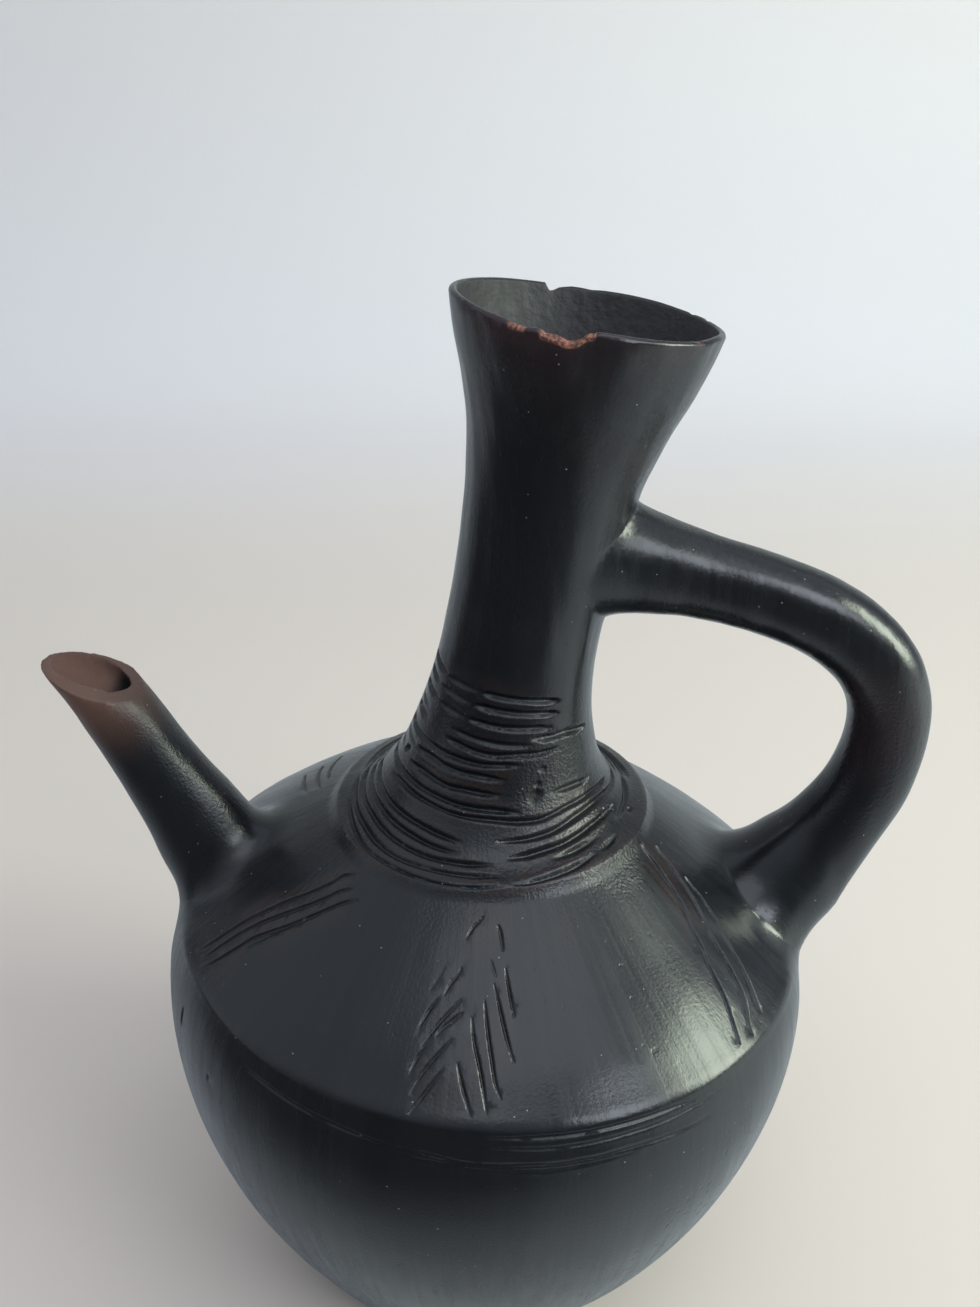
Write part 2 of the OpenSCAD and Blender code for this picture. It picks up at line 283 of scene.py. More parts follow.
    def place(self, r, h, angle):
        """Points in space for radii and heights of the outline, and angles round it."""
        r, h, angle = np.broadcast_arrays(r, h, angle)
        s = h - COLLAR_Z
        w = smooth(h, 119, 133)[..., None]
        c, q = np.cos(angle), np.sin(angle)
        tilt = self.tilt * smooth(h, -6, 26)
        bx = BODY_X + (h - TILT_Z) * math.sin(self.tilt)
        bz = TILT_Z + (h - TILT_Z) * math.cos(self.tilt)
        bz = bz + (h - bz) * (1 - smooth(h, 4, 40))
        body = np.stack([bx + r * c * np.cos(tilt), r * q, bz - r * c * np.sin(tilt)], -1)
        lean = self.ring_tilt(s)
        at = self.axis(s)
        neck = np.stack([at[..., 0] + r * c * np.cos(lean), r * q, at[..., 1] - r * c * np.sin(lean)], -1)
        flat = smooth(h, 0, 14)[..., None]
        low = np.stack([bx + r * c, r * q, h + 0 * r], -1)
        body = body * flat + low * (1 - flat)
        return body * (1 - w) + neck * w

    def height_at(self, r):
        """Height of the shoulder at a radius."""
        line = self.outer
        part = line[(line[:, 1] > 101) & (line[:, 1] < 134.5)]
        order = np.argsort(part[:, 0])
        return np.interp(r, part[order, 0], part[order, 1])

    def radius_at(self, h):
        """Radius of the belly at a height."""
        return np.interp(h, self.outer[:, 1], self.outer[:, 0])


def resampled(line, steps):
    """Points along an outline with a chosen spacing that depends on place."""
    d = lengths(line)
    fine = np.linspace(0, d[-1], 4000)
    pts = points_at(line, d, fine)
    density = np.concatenate([[0], np.cumsum(np.diff(fine) / steps(pts[1:]))])
    count = int(round(density[-1]))
    at = np.interp(np.linspace(0, density[-1], count + 1), density, fine)
    return points_at(pts, fine, at)


# Mesh helpers

def mesh_object(name, points, faces, edges=()):
    """Mesh object from points in millimetres and lists of faces and loose edges."""
    mesh = bpy.data.meshes.new(name)
    mesh.from_pydata(np.asarray(points, float) * MM, edges, faces)
    mesh.update()
    obj = bpy.data.objects.new(name, mesh)
    bpy.context.collection.objects.link(obj)
    return obj


def tube_object(name, rings, ends=None):
    """Closed tube from rings of points, with a middle point at each end."""
    rows, columns = rings.shape[:2]
    if ends is None:
        ends = np.stack([rings[0].mean(0), rings[-1].mean(0)])
    i = np.arange(rows - 1)[:, None] * columns
    k = np.arange(columns)[None, :]
    m = (k + 1) % columns
    faces = np.stack([i + k, i + m, i + columns + m, i + columns + k], -1).reshape(-1, 4).tolist()
    first = rows * columns
    last = first - columns
    for k in range(columns):
        m = (k + 1) % columns
        faces.append([m, k, first])
        faces.append([last + k, last + m, first + 1])
    return mesh_object(name, np.concatenate([rings.reshape(-1, 3), ends]), faces)


def face_outward(obj):
    """Turns all normals outward."""
    bm = bmesh.new()
    bm.from_mesh(obj.data)
    bmesh.ops.recalc_face_normals(bm, faces=bm.faces)
    bm.to_mesh(obj.data)
    bm.free()
    return obj


def remove(obj):
    """Removes a mesh object and its mesh."""
    mesh = obj.data
    bpy.data.objects.remove(obj)
    bpy.data.meshes.remove(mesh)


def baked(obj, name):
    """Plain mesh object from an object and its modifiers, in place of it."""
    graph = bpy.context.evaluated_depsgraph_get()
    mesh = bpy.data.meshes.new_from_object(obj.evaluated_get(graph))
    mesh.name = name
    done = bpy.data.objects.new(name, mesh)
    bpy.context.collection.objects.link(done)
    remove(obj)
    return done


def combined(a, b, operation):
    """Joins or cuts two closed meshes, and removes the second one."""
    m = a.modifiers.new(operation, "BOOLEAN")
    m.operation = operation
    m.solver = "MANIFOLD"
    m.object = b
    bpy.context.view_layer.update()
    done = baked(a, a.name)
    remove(b)
    return done


def read(items, name, width=1, kind=np.int32):
    """Values of a mesh's points, edges, corners or faces."""
    values = np.empty(len(items) * width, kind)
    items.foreach_get(name, values)
    return values.reshape(-1, width) if width > 1 else values


def set_attribute(obj, name, values):
    """Stores one number for each point of the mesh."""
    item = obj.data.attributes.new(name, "FLOAT", "POINT")
    item.data.foreach_set("value", np.asarray(values, np.float32))


def triangles(mesh):
    """Number of triangles of a mesh."""
    return sum(len(p.vertices) - 2 for p in mesh.polygons)


# Node groups

def new_group(name, kind, inputs, outputs):
    """Node group with named inputs and outputs."""
    group = bpy.data.node_groups.new(name, kind)
    for label, socket, value in inputs:
        item = group.interface.new_socket(label, in_out="INPUT", socket_type=socket)
        if value is not None:
            item.default_value = value
    for label, socket in outputs:
        group.interface.new_socket(label, in_out="OUTPUT", socket_type=socket)
    return group


class Wire:
    """Short way to place nodes and join them in a node tree."""

    def __init__(self, tree):
        self.tree = tree
        self.count = 0

    def node(self, kind, inputs=None, **settings):
        n = self.tree.nodes.new(kind)
        self.count += 1
        n.location = (190 * (self.count % 12), -240 * (self.count // 12))
        for key, value in settings.items():
            setattr(n, key, value)
        for key, value in (inputs or {}).items():
            self.put(value, n.inputs[key])
        return n

    def put(self, value, socket):
        if isinstance(value, bpy.types.NodeSocket):
            self.tree.links.new(value, socket)
        elif value is not None:
            socket.default_value = value

    def math(self, operation, a, b=None, clamp=False):
        n = self.node("ShaderNodeMath", operation=operation, use_clamp=clamp)
        self.put(a, n.inputs[0])
        self.put(b, n.inputs[1])
        return n.outputs[0]

    def plus(self, a, b, clamp=False):
        return self.math("ADD", a, b, clamp)

    def minus(self, a, b):
        return self.math("SUBTRACT", a, b)

    def times(self, a, b, clamp=False):
        return self.math("MULTIPLY", a, b, clamp)

    def most(self, a, b, clamp=False):
        return self.math("MAXIMUM", a, b, clamp)

    def vector(self, operation, a, b=None, scale=None):
        n = self.node("ShaderNodeVectorMath", operation=operation)
        self.put(a, n.inputs[0])
        self.put(b, n.inputs[1])
        if scale is not None:
            self.put(scale, n.inputs["Scale"])
        return n.outputs["Value"] if operation in ("LENGTH", "DOT_PRODUCT", "DISTANCE") else n.outputs[0]

    def mix(self, factor, a, b):
        n = self.node("ShaderNodeMix", data_type="RGBA")
        self.put(factor, n.inputs[0])
        self.put(a, n.inputs[6])
        self.put(b, n.inputs[7])
        return n.outputs[2]

    def noise(self, vector, scale, detail, roughness=0.5, seed=None):
        inputs = {"Vector": vector, "Scale": scale, "Detail": detail, "Roughness": roughness}
        if seed is None:
            return self.node("ShaderNodeTexNoise", inputs).outputs[0]
        inputs["W"] = seed
        return self.node("ShaderNodeTexNoise", inputs, noise_dimensions="4D").outputs[0]

    def ramp(self, value, low, high, to_low=0.0, to_high=1.0, kind="SMOOTHSTEP"):
        n = self.node("ShaderNodeMapRange", interpolation_type=kind)
        for key, v in zip((0, 1, 2, 3, 4), (value, low, high, to_low, to_high)):
            self.put(v, n.inputs[key])
        return n.outputs[0]


def geometry_group(name, inputs):
    """New geometry node group, and its inputs, between a geometry and a material."""
    ends = ("Geometry", "NodeSocketGeometry")
    group = new_group(name, "GeometryNodeTree", ((*ends, None), *inputs,
                                                 ("Material", "NodeSocketMaterial", None)), (ends,))
    w = Wire(group)
    return w, w.node("NodeGroupInput").outputs


def named(w, name):
    """Number that is stored on the points of a mesh."""
    return w.node("GeometryNodeInputNamedAttribute", {"Name": name}, data_type="FLOAT").outputs[0]


def pushed_out(w, source, amount):
    """Moves the surface along its normals."""
    offset = w.vector("SCALE", w.node("GeometryNodeInputNormal").outputs[0], scale=amount)
    return w.node("GeometryNodeSetPosition", {"Geometry": source["Geometry"], "Offset": offset}).outputs[0]


def close_group(w, source, geometry):
    """Ends a group with Realize Instances and Set Material."""
    real = w.node("GeometryNodeRealizeInstances", {0: geometry})
    done = w.node("GeometryNodeSetMaterial", {"Geometry": real.outputs[0], "Material": source["Material"]})
    w.node("NodeGroupOutput", {"Geometry": done.outputs[0]})
    return w.tree


def cut_lines_group():
    """Cuts the nearest line of a line drawing into the surface, with a soft lip on both sides."""
    w, source = geometry_group("Cut lines", (
        ("Lines", "NodeSocketObject", None), ("Strength", "NodeSocketFloat", 1.0),
        ("Roughness", "NodeSocketFloat", 0.5), ("Seed", "NodeSocketFloat", 0.0)))
    lines = w.node("GeometryNodeObjectInfo", {"Object": source["Lines"]}).outputs["Geometry"]
    near = w.node("GeometryNodeProximity", {0: lines}, target_element="EDGES")
    position = w.node("GeometryNodeInputPosition").outputs[0]
    index = w.node("GeometryNodeSampleNearest", {"Geometry": lines}).outputs["Index"]

    def drawn(name):
        inputs = {"Geometry": lines, "Value": named(w, name), "Index": index}
        return w.node("GeometryNodeSampleIndex", inputs, data_type="FLOAT", domain="POINT").outputs[0]

    noise = w.noise(position, 900.0, 2.0, seed=source["Seed"])
    rough = w.plus(w.times(w.minus(noise, 0.5), source["Roughness"]), 1.0)
    t = w.math("DIVIDE", near.outputs["Distance"], w.times(drawn("wide"), rough))
    hollow = w.math("EXPONENT", w.times(w.math("POWER", t, 2.4), -1.0))
    side = w.minus(t, 1.8)
    raised = w.math("EXPONENT", w.times(w.times(side, side), -2.8))
    amount = w.minus(w.times(raised, drawn("lift")), w.times(hollow, drawn("cut")))
    moved = pushed_out(w, source, w.times(amount, source["Strength"]))
    # The material paints shade into the grooves and makes them rougher by this value, in full from a depth
    # of 0.4 mm
    groove = w.times(hollow, w.math("DIVIDE", drawn("cut"), 0.0004), clamp=True)
    told = w.node("GeometryNodeStoreNamedAttribute", {"Geometry": moved, "Name": "groove", "Value": groove},
                  data_type="FLOAT", domain="POINT")
    return close_group(w, source, told.outputs[0])


def hand_shaped_group():
    """Lets a wall wander as hand-shaped clay does, with tall soft facets from burnishing."""
    w, source = geometry_group("Hand-shaped clay", (
        ("Amount", "NodeSocketFloat", 0.0003), ("Facets", "NodeSocketFloat", 0.00012),
        ("Seed", "NodeSocketFloat", 0.0)))
    position = w.node("GeometryNodeInputPosition").outputs[0]
    slow = w.noise(position, 32.0, 2.0, seed=source["Seed"])
    tall = w.vector("MULTIPLY", position, (1.0, 1.0, 0.16))
    facets = w.noise(tall, 150.0, 1.0, seed=source["Seed"])
    a = w.times(w.minus(slow, 0.5), source["Amount"])
    b = w.times(w.times(w.minus(facets, 0.5), source["Facets"]), named(w, "facets"))
    total = w.times(w.plus(a, b), w.minus(1.0, named(w, "steady")))
    return close_group(w, source, pushed_out(w, source, total))


def add_group(obj, group, values):
    """Adds a geometry node group as a modifier and sets its named inputs."""
    m = obj.modifiers.new(group.name, "NODES")
    m.node_group = group
    for item in group.interface.items_tree:
        if item.in_out == "INPUT" and item.name in values:
            m[item.identifier] = values[item.name]


# Drawing of the cut lines: rings of the collar and strokes of the shoulder

# Ring grooves of the collar: share of the depth, share of the width, then pairs of the angle in
# degrees and the distance along the neck in millimetres
RINGS = (
    (0.9, 1.0, (-186, 35.1, -178, 35, -173, 34.9, -160, 34.6, -147, 34.2)),
    (0.35, 0.8, (-149, 34.2, -132, 34.3, -114, 34.4)),
    (1.0, 1.0, (-118, 34.4, -100, 34.5, -80, 34.6, -56, 34.6)),
    (0.9, 1.0, (-184, 31.9, -176, 31.8, -152, 31.5)),
    (0.3, 0.8, (-153, 31.5, -135, 31.4, -118, 31.3)),
    (1.0, 1.0, (-121, 31.3, -100, 31.4, -80, 31.6, -56, 31.7)),
    (0.9, 1.0, (-186, 28.4, -178, 28.3, -172, 28.5, -149, 28.2)),
    (0.3, 0.8, (-150, 28.2, -135, 28.0, -120, 27.9)),
    (0.95, 1.0, (-123, 27.9, -100, 27.8, -80, 28.1, -61, 28.3)),
    (0.45, 0.9, (-184, 25.3, -177, 25.2, -157, 25.1)),
    (0.7, 0.9, (-131, 24.7, -127, 24.5, -110, 24.2, -93, 24.1, -80, 24.3, -74, 24.5)),
    (1.1, 1.1, (-77, 25.6, -74, 25.7, -60, 25.8, -50, 26.1, -40, 25.6, -27, 25.3)),
    (0.9, 1.0, (-188, 22.5, -180, 22.5, -175, 22.9, -153, 22.8)),
    (1.0, 1.0, (-134, 22.5, -131, 22.2, -120, 21.9, -110, 21.6, -100, 21.5, -90, 21.9, -80, 22.2, -70, 22.3,
                -62, 22.7, -55, 23.4)),
    (1.0, 1.0, (-190, 18.9, -182, 18.9, -175, 19.2, -150, 19.1, -135, 18.9, -120, 19, -105, 19.2, -95, 19.6,
                -80, 20)),
    (0.35, 0.8, (-190, 16.5, -170, 16.5, -154, 16.7)),
    (0.9, 1.0, (-156, 16.7, -150, 16.7, -137, 16.9, -128, 16.6, -115, 16.6, -105, 16.8, -94, 16.7,
                -88, 16.7)),
    (0.4, 0.8, (-192, 13.6, -180, 13.5, -170, 13.4)),
    (0.9, 1.1, (-168.5, 13.4, -162, 14.9)),
    (1.0, 1.0, (-156, 13.2, -150, 13.2, -140, 13.3, -122, 13, -110, 13.4, -97, 13.4, -90, 13.4)),
    (0.8, 1.0, (-63, 13.2, -50, 13.1, -40, 12.8, -30, 12.6)),
    (1.0, 1.0, (-194, 10, -184, 10, -175, 10.3, -158, 10.4, -150, 10.5, -130, 10.5, -110, 10.3, -95, 10.4,
                -88, 10.3, -79, 9.9)),
    (0.9, 0.9, (-167, 8.6, -163, 8.7, -150, 8.9, -130, 8.8, -110, 8.5, -95, 8.6, -80, 8.3, -70, 8.2,
                -60, 8.8, -50, 9.3, -35, 9.3, -20, 8.8, -12, 8.6)),
    (1.0, 1.0, (-196, 5, -190, 5, -180, 5.3, -165, 5.3, -150, 5.1, -130, 5, -115, 4.6, -104, 4.2)),
    (0.95, 1.0, (-91, 4.8, -88, 4.9, -77, 5.1, -65, 5.5, -55, 6.2, -47, 6.7, -35, 6.9, -25, 6.7, -15, 5.9,
                 0, 5.2, 10, 5)),
    (0.9, 0.9, (-196, 3.3, -190, 3.4, -170, 3.6, -158, 3.6, -145, 3.4, -130, 3.2, -115, 2.8, -104, 2.6)),
    (1.2, 1.1, (-86, 2.4, -80, 2.5, -70, 2.9, -60, 3.1, -50, 3.5, -40, 3.8, -30, 3.8, -21, 3.6)),
    (0.9, 0.9, (-196, 1.8, -190, 1.9, -170, 2, -158, 2.1, -145, 1.9, -130, 1.6, -115, 1.4, -100, 1.5,
                -90, 1.6)),
    (1.25, 1.3, (-67, 1.5, -64, 1.5, -54, 1.7, -42, 1.9)),
    (0.8, 0.9, (-28, 1.9, -25, 1.9, 0, 2, 10, 2.1)),
    (0.85, 0.9, (-190, 1, -185, 1, -170, 0.9, -155, 0.8, -140, 0.5, -125, 0.3, -98, 0.4, -86, 0.5)),
    (1.15, 1.0, (-84, -0.3, -80, -0.3, -70, -0.1, -60, 0.1, -48, 0.4)),
    (0.7, 0.9, (-47, 0.4, -40, 0.5, -34, 0.7)),
    (0.8, 0.8, (-175, 0.4, -170, 0.4, -155, 0.1, -140, -0.3, -125, -0.4, -105, -0.5, -86, -0.3)),
    (0.5, 0.7, (-159, -0.4, -155, -0.4, -140, -0.6, -125, -0.9, -106, -1.2, -100, -1.3)),
)
# Rings round the back, by distance along the neck
BACK_RINGS = (34.8, 31.8, 28.4, 25.2, 22.4, 19.0, 16.6, 13.4, 10.1, 8.7, 5.1, 3.5, 2.0, 1.0)

# Strokes on the shoulder: share of the depth, share of the width, then pairs of angle and radius
STROKES = (
    (0.8, 1.0, (-92, 41, -94.5, 42.6, -96.5, 44.8)), (0.4, 0.8, (-101.8, 51, -103, 53, -104, 54.6)),
    (0.9, 1.0, (-97.5, 50.2, -98.5, 51.5, -100, 53.3, -100.8, 54.9)),
    (0.9, 1.0, (-102, 56, -103.2, 58, -104.3, 60.8)),
    (0.9, 1.0, (-97.2, 55.4, -98.6, 57, -100.8, 59.8, -102, 61.8, -103, 63.6)),
    (0.9, 1.0, (-96.6, 57.5, -98, 58.7, -99.7, 60.2, -100.8, 61.6)),
    (0.8, 1.0, (-102.2, 63.8, -103.2, 65.5, -103.9, 67.8)),
    (0.9, 1.0, (-97.9, 62, -99.2, 63.6, -100.6, 65.6, -102, 68, -103, 70.5)),
    (0.9, 1.0, (-98.8, 67, -100, 69, -101.6, 71.8, -102.5, 73.5)),
    (0.9, 1.2, (-87.8, 42.5, -87.3, 44, -87.2, 46.5)), (0.4, 0.9, (-90.5, 48.5, -89.7, 51)),
    (1.0, 1.0, (-87.2, 49.8, -87, 53, -86.7, 55, -86.2, 57.7)),
    (1.0, 1.0, (-90.2, 52.5, -89, 56.5, -87.8, 60.5, -87, 63, -86.4, 64.8)),
    (1.0, 1.0, (-92.3, 55.3, -91.3, 60, -90.3, 64.5, -89.5, 68, -88.6, 70)),
    (1.0, 1.0, (-94.6, 58.2, -93.6, 62, -92.4, 65.5, -91.5, 68.8, -90.8, 72)),
    (1.0, 1.0, (-96.2, 65.5, -95, 68.5, -94, 70.8, -93.3, 72.5)),
    (1.0, 1.0, (-137.5, 40.2, -140.5, 41.8, -142, 44.5, -144.2, 47.5, -146, 50, -149, 54, -151, 57.5,
                -152.8, 61, -153.9, 65, -155.2, 70, -156.2, 72.5)),
    (1.0, 1.0, (-135, 42.8, -138, 45, -139.5, 47, -142, 50, -144.5, 53, -146.5, 55.5, -148, 57.5,
                -149.6, 60, -151, 63, -152, 66, -153, 70, -153.7, 72)),
    (1.0, 1.0, (-130.7, 44, -134, 46, -137, 49, -139.5, 52, -143.5, 57, -146, 60, -148, 63, -149, 66,
                -150.5, 70, -152, 73)),
    (0.35, 0.8, (-141, 54, -145, 60, -147.5, 64)),
    (1.05, 1.0, (-27.5, 38.5, -28.2, 42, -30, 46, -32.5, 50.5, -35.5, 54, -36.8, 57, -38.5, 60, -40, 65,
                 -42, 69.5, -43.2, 72.5)),
    (1.05, 1.0, (-21.5, 41, -22.3, 42.5, -24.8, 47, -27.5, 51, -30.5, 55, -32.5, 58.5, -33.6, 62, -35, 66,
                 -36.5, 68.5, -39, 71.5, -39.5, 73)),
    (1.05, 1.0, (-22.8, 48, -24.3, 51.5, -26, 54.5, -28, 58.5, -30, 62, -31.5, 65.5, -33, 68.5,
                 -34.6, 71.5)),
    (1.0, 1.0, (152, 56, 168.8, 46.5)), (1.0, 1.0, (148, 53, 166.7, 43.3)),
    (1.0, 1.0, (142, 51, 161.4, 42.7)),
)
# Small dents on the shoulder, with painted shade in them: angle, radius and size in millimetres
MARKS = ((-59.6, 52.2, 0.35), (-59.0, 52.3, 0.3), (-60.5, 57.7, 0.4), (-62, 65.3, 0.35), (-60.5, 66.7, 0.6),
         (-59.8, 66.6, 0.6), (-108.4, 63, 0.35), (-17, 66.5, 0.7), (-16.2, 65.6, 0.5), (-99.5, 70.4, 0.4))
# Fine lines and slits below the ridge: depth and width in millimetres, then pairs of angle and height
LEDGE_LINES = (
    (0.4, 0.4, (-91, 103.1, -80, 103, -70, 103.1, -60, 103.1, -56, 102.4)),
    (0.25, 0.4, (-92, 101.2, -80, 100.8, -70, 101, -60, 101.2, -50, 101.5)),
    (0.3, 0.4, (-133, 99.9, -130, 99.8, -120, 99.2, -110, 98.8, -103, 98.4)),
    (0.3, 0.4, (-104, 98.6, -101, 98.6, -92, 97.5, -85, 97.6, -79, 97.4, -74, 97.6, -67, 97.8, -60, 97.4,
                -53, 97.3)),
    (0.2, 0.35, (-105, 97, -95, 97, -80, 96.3, -75, 96.5, -67, 96.8)),
    (0.5, 0.45, (-152.5, 90.7, -152.7, 93, -152.4, 95.3)), (0.35, 0.35, (-141.1, 88, -140.6, 89)),
)
# Pits in the collar: depth and width in millimetres, then pairs of angle and distance
COLLAR_PITS = (
    (0.8, 1.1, (-72, 12.6, -70.5, 13.4)), (0.5, 0.6, (-70.4, 15.3, -69.6, 15.5)),
    (0.5, 0.6, (-67.4, 18.7, -66.6, 18.9)), (0.7, 0.7, (-31.5, 3.9, -30.5, 3.9)),
    (0.7, 0.7, (-25.5, 3.6, -24.5, 3.6)), (0.6, 0.6, (-16.4, 1, -15.6, 1)),
)


def line_drawing(shape, ring_depth, stroke_depth):
    """Mesh of edges that follows every ring groove and stroke, with depth, width and lip along it."""
    points, edges, cut, wide, lift = [], [], [], [], []

    def add(curve, depth, width, lip):
        start = len(points)
        for k, p in enumerate(curve):
            points.append(p)
            if k:
                edges.append((start + k - 1, start + k))
        cut.extend(depth)
        wide.extend(width)
        lift.extend(lip)

    def knots(line, step):
        pairs = np.array(line, float).reshape(-1, 2)
        steps = np.abs(np.diff(pairs[:, 0])) + np.abs(np.diff(pairs[:, 1]))
        reach = np.concatenate([[0], np.cumsum(steps)])
        n = max(5, int(reach[-1] / step))
        at = np.linspace(0, reach[-1], n)
        long = min(7, n / 2.2)
        fade = smooth(np.arange(n), -1, long) * smooth(n - 1 - np.arange(n), -1, long)
        return flowing(at, reach, pairs[:, 0]), flowing(at, reach, pairs[:, 1]), fade

    rings = list(RINGS) + [(0.9, 1.0, (6, s, 50, s, 90, s, 130, s, 168, s)) for s in BACK_RINGS]
    for i, (depth, width, line) in enumerate(rings):
        degrees, s, fade = knots(line, 1.6)
        angle = np.radians(degrees)
        s = s + (0.06 if i < len(RINGS) else 0.25) * waves(angle, 30 + i, 8)
        curve = shape.place(np.minimum(shape.neck_r(s), 38), COLLAR_Z + s, angle)
        vary = 1 + 0.16 * waves(angle, 60 + i, 12, 4)
        add(curve, ring_depth * depth * fade * vary, 0.62 * width * (0.5 + 0.5 * fade) * vary,
            0.05 * depth * fade)
    for depth, width, line in STROKES:
        degrees, radius, fade = knots(line, 0.9)
        curve = shape.place(radius, shape.height_at(radius), np.radians(degrees))
        fade = np.sqrt(fade)
        add(curve, stroke_depth * depth * (0.25 + 0.75 * fade), 0.33 * width * (0.55 + 0.45 * fade),
            0.02 * depth * fade)
    for depth, width, line in LEDGE_LINES:
        degrees, height, fade = knots(line, 1.2)
        curve = shape.place(shape.radius_at(height), height, np.radians(degrees))
        add(curve, depth * (0.2 + 0.8 * fade), width * (0.7 + 0.3 * fade), 0.05 * fade)
    for depth, width, line in COLLAR_PITS:
        degrees, s, fade = knots(line, 0.4)
        curve = shape.place(shape.neck_r(s), COLLAR_Z + s, np.radians(degrees))
        add(curve, depth + 0 * fade, width + 0 * fade, 0 * fade)
    obj = mesh_object("cut line drawing", points, [], edges)
    for name, values in (("cut", cut), ("wide", wide), ("lift", lift)):
        set_attribute(obj, name, np.array(values) * MM)
    return obj


# Parts of the pot

def row_spacing(pts):
    """Distance between rows of the outer wall, finer where lines are cut."""
    h = pts[:, 1]
    spacing = np.full(len(h), 1.8)
    for low, step in ((88, 1.0), (95, 0.3), (105.8, 0.42), (127, 0.27), (170.5, 1.1), (241, 0.45)):
        spacing = np.where(h > low, step, spacing)
    return spacing


def columns():
    """Angles round the pot, closer together where strokes are cut."""
    fine = np.linspace(-180, 180, 7201)
    step = np.full(len(fine), 0.8)
    for low, high, size in FINE:
        step = np.where((fine > low) & (fine < high), size, step)
    step = np.convolve(np.pad(step, 20, mode="wrap"), np.full(41, 1 / 41), mode="valid")
    total = np.concatenate([[0], np.cumsum(0.05 / step[1:])])
    count = int(total[-1])
    return np.radians(np.interp(np.arange(count) * total[-1] / count, total, fine))


# Rise of the rim in millimetres at angles round it in degrees
RIM_AT = (-180, -134, -124, -118, -112, -106, -101.5, -97, -93, -88, -60, -40, -28, -12, 30, 60, 95, 125,
          180)
RIM_UP = (0.6, 0.1, -0.3, -0.45, -0.25, -0.4, -0.9, -0.3, 1.1, 1.3, 1.35, 1.4, 1.7, 1.35, 1.0, 0.9, 0.2,
          0.2, 0.6)


def rim_height(angle):
    """How far the hand-shaped rim stands above or below its plane."""
    d = signed_degrees(angle)
    return flowing(d, RIM_AT, RIM_UP) + 0.10 * waves(angle, 5, 9, 5)


def chips(angle, wear):
    """Depth of the two broken places in front and of the notch behind, by angle."""
    d = signed_degrees(angle)
    first = smooth(d, -127.5, -125) * (1 - smooth(d, -119.5, -117))
    second = smooth(d, -113.5, -110.5) * (1 - smooth(d, -92.5, -90))
    ragged = 1.0 + 0.35 * waves(angle, 12, 26, 9) + 0.25 * waves(angle, 14, 30, 30)
    notch = np.interp(d, (93.5, 96.5, 99, 101, 103.2, 104.6, 106), (0, 0.25, 0.5, 0.95, 1, 0.55, 0))
    small = 0.25 * np.exp(-((d + 44) / 2.5) ** 2) + 0.3 * np.exp(-((d - 30) / 2) ** 2) \
        + 0.3 * np.exp(-((d - 18) / 1.5) ** 2) + 0.25 * np.exp(-((d - 84) / 3) ** 2)
    front = (0.55 * first + 0.8 * second) * np.maximum(ragged, 0.3)
    return wear * (front + 1.45 * notch * (1 + 0.15 * waves(angle, 3, 20, 30)) + small)


def wall_object(shape, wear):
    """Closed wall of belly, collar and neck, outside and inside, with the worn rim."""
    angle = columns()
    outer = resampled(shape.outer, row_spacing)
    lip = shape.lip_line()
    inner = resampled(shape.inner, lambda p: np.where(p[:, 1] > 236, 0.9, 4.0))[1:]
    rows = np.concatenate([outer, lip, inner])
    r = rows[:, 0][:, None] + 0 * angle
    h = rows[:, 1][:, None] + 0 * angle
    top = COLLAR_Z + shape.neck_len
    near = smooth(h, top - 14, top)
    h = h + near * rim_height(angle)[None, :]
    # Chips take the outer half of the lip away as a slanted break
    n_outer, n_lip = len(outer), len(lip)
    depth = chips(angle, wear)[None, :]
    index = np.arange(len(rows))[:, None] + 0 * angle
    from_top = np.maximum(top - rows[:, 1][:, None], 0)
    outside = smooth(index, n_outer + n_lip * 0.8, n_outer + n_lip * 0.35)
    is_notch = np.abs(signed_degrees(angle) - 99.5)[None, :] < 12
    h = h - depth * np.exp(-from_top / 1.3) * np.where(is_notch, 1.0, 0.25 + 0.35 * outside)
    r = r - np.minimum(0.75 * depth, 0.9) * outside * np.exp(-from_top / 0.9) * ~is_notch
    chip = np.clip(depth * np.exp(-(from_top / 1.25) ** 2) * (0.15 + 0.85 * outside) * 1.7, 0, 1)
    chip = np.where(is_notch, chip * 0.45, chip)
    degrees = np.degrees(angle)[None, :]
    tint = np.exp(-from_top / 7.0) * (smooth(degrees, -176, -150) * (1 - smooth(degrees, -100, -60)) + 0.15)
    pts = shape.place(r, h, angle[None, :])
    ends = np.array([[pts[0, :, 0].mean(), 0, 0.0], [pts[-1, :, 0].mean(), 0, pts[-1, :, 2].mean()]])
    obj = tube_object("wall", pts, ends)
    zone = rows[:, 1]
    is_outer = np.arange(len(rows)) < n_outer
    facets = np.where(is_outer, smooth(zone, 168, 185) + 0.1, 0.3)
    steady = np.where(is_outer, 1 - smooth(zone, 1, 12), 0.0)
    inside = np.where(np.arange(len(rows)) >= n_outer + n_lip - 3, 1.0, 0.0)
    # Each value is followed by its values at the two middle points
    for name, value, at_ends in (("facets", facets[:, None], (0, 0)), ("steady", steady[:, None], (1, 0)),
                                 ("chip", chip, (0, 0)), ("tint", tint, (0, 0)),
                                 ("inside", inside[:, None], (0, 1))):
        set_attribute(obj, name, np.append((value + 0 * angle).reshape(-1), at_ends))
    return obj


def hollow_object(shape, grow):
    """Closed solid of the hollow inside the pot, grown a little into the wall."""
    line = resampled(shape.inner, lambda p: np.full(len(p), 3.0))
    top = np.array([[line[0, 0] + 3, line[0, 1] + 20]])
    rows = np.concatenate([top, line])
    sides = 128
    angle = np.arange(sides) * 2 * math.pi / sides
    r = rows[:, 0][:, None] + grow + 0 * angle
    h = rows[:, 1][:, None] - np.where(rows[:, 1] < 12, grow, 0)[:, None] + 0 * angle
    pts = shape.place(r, h, angle[None, :])
    return face_outward(tube_object("hollow", pts[::-1]))


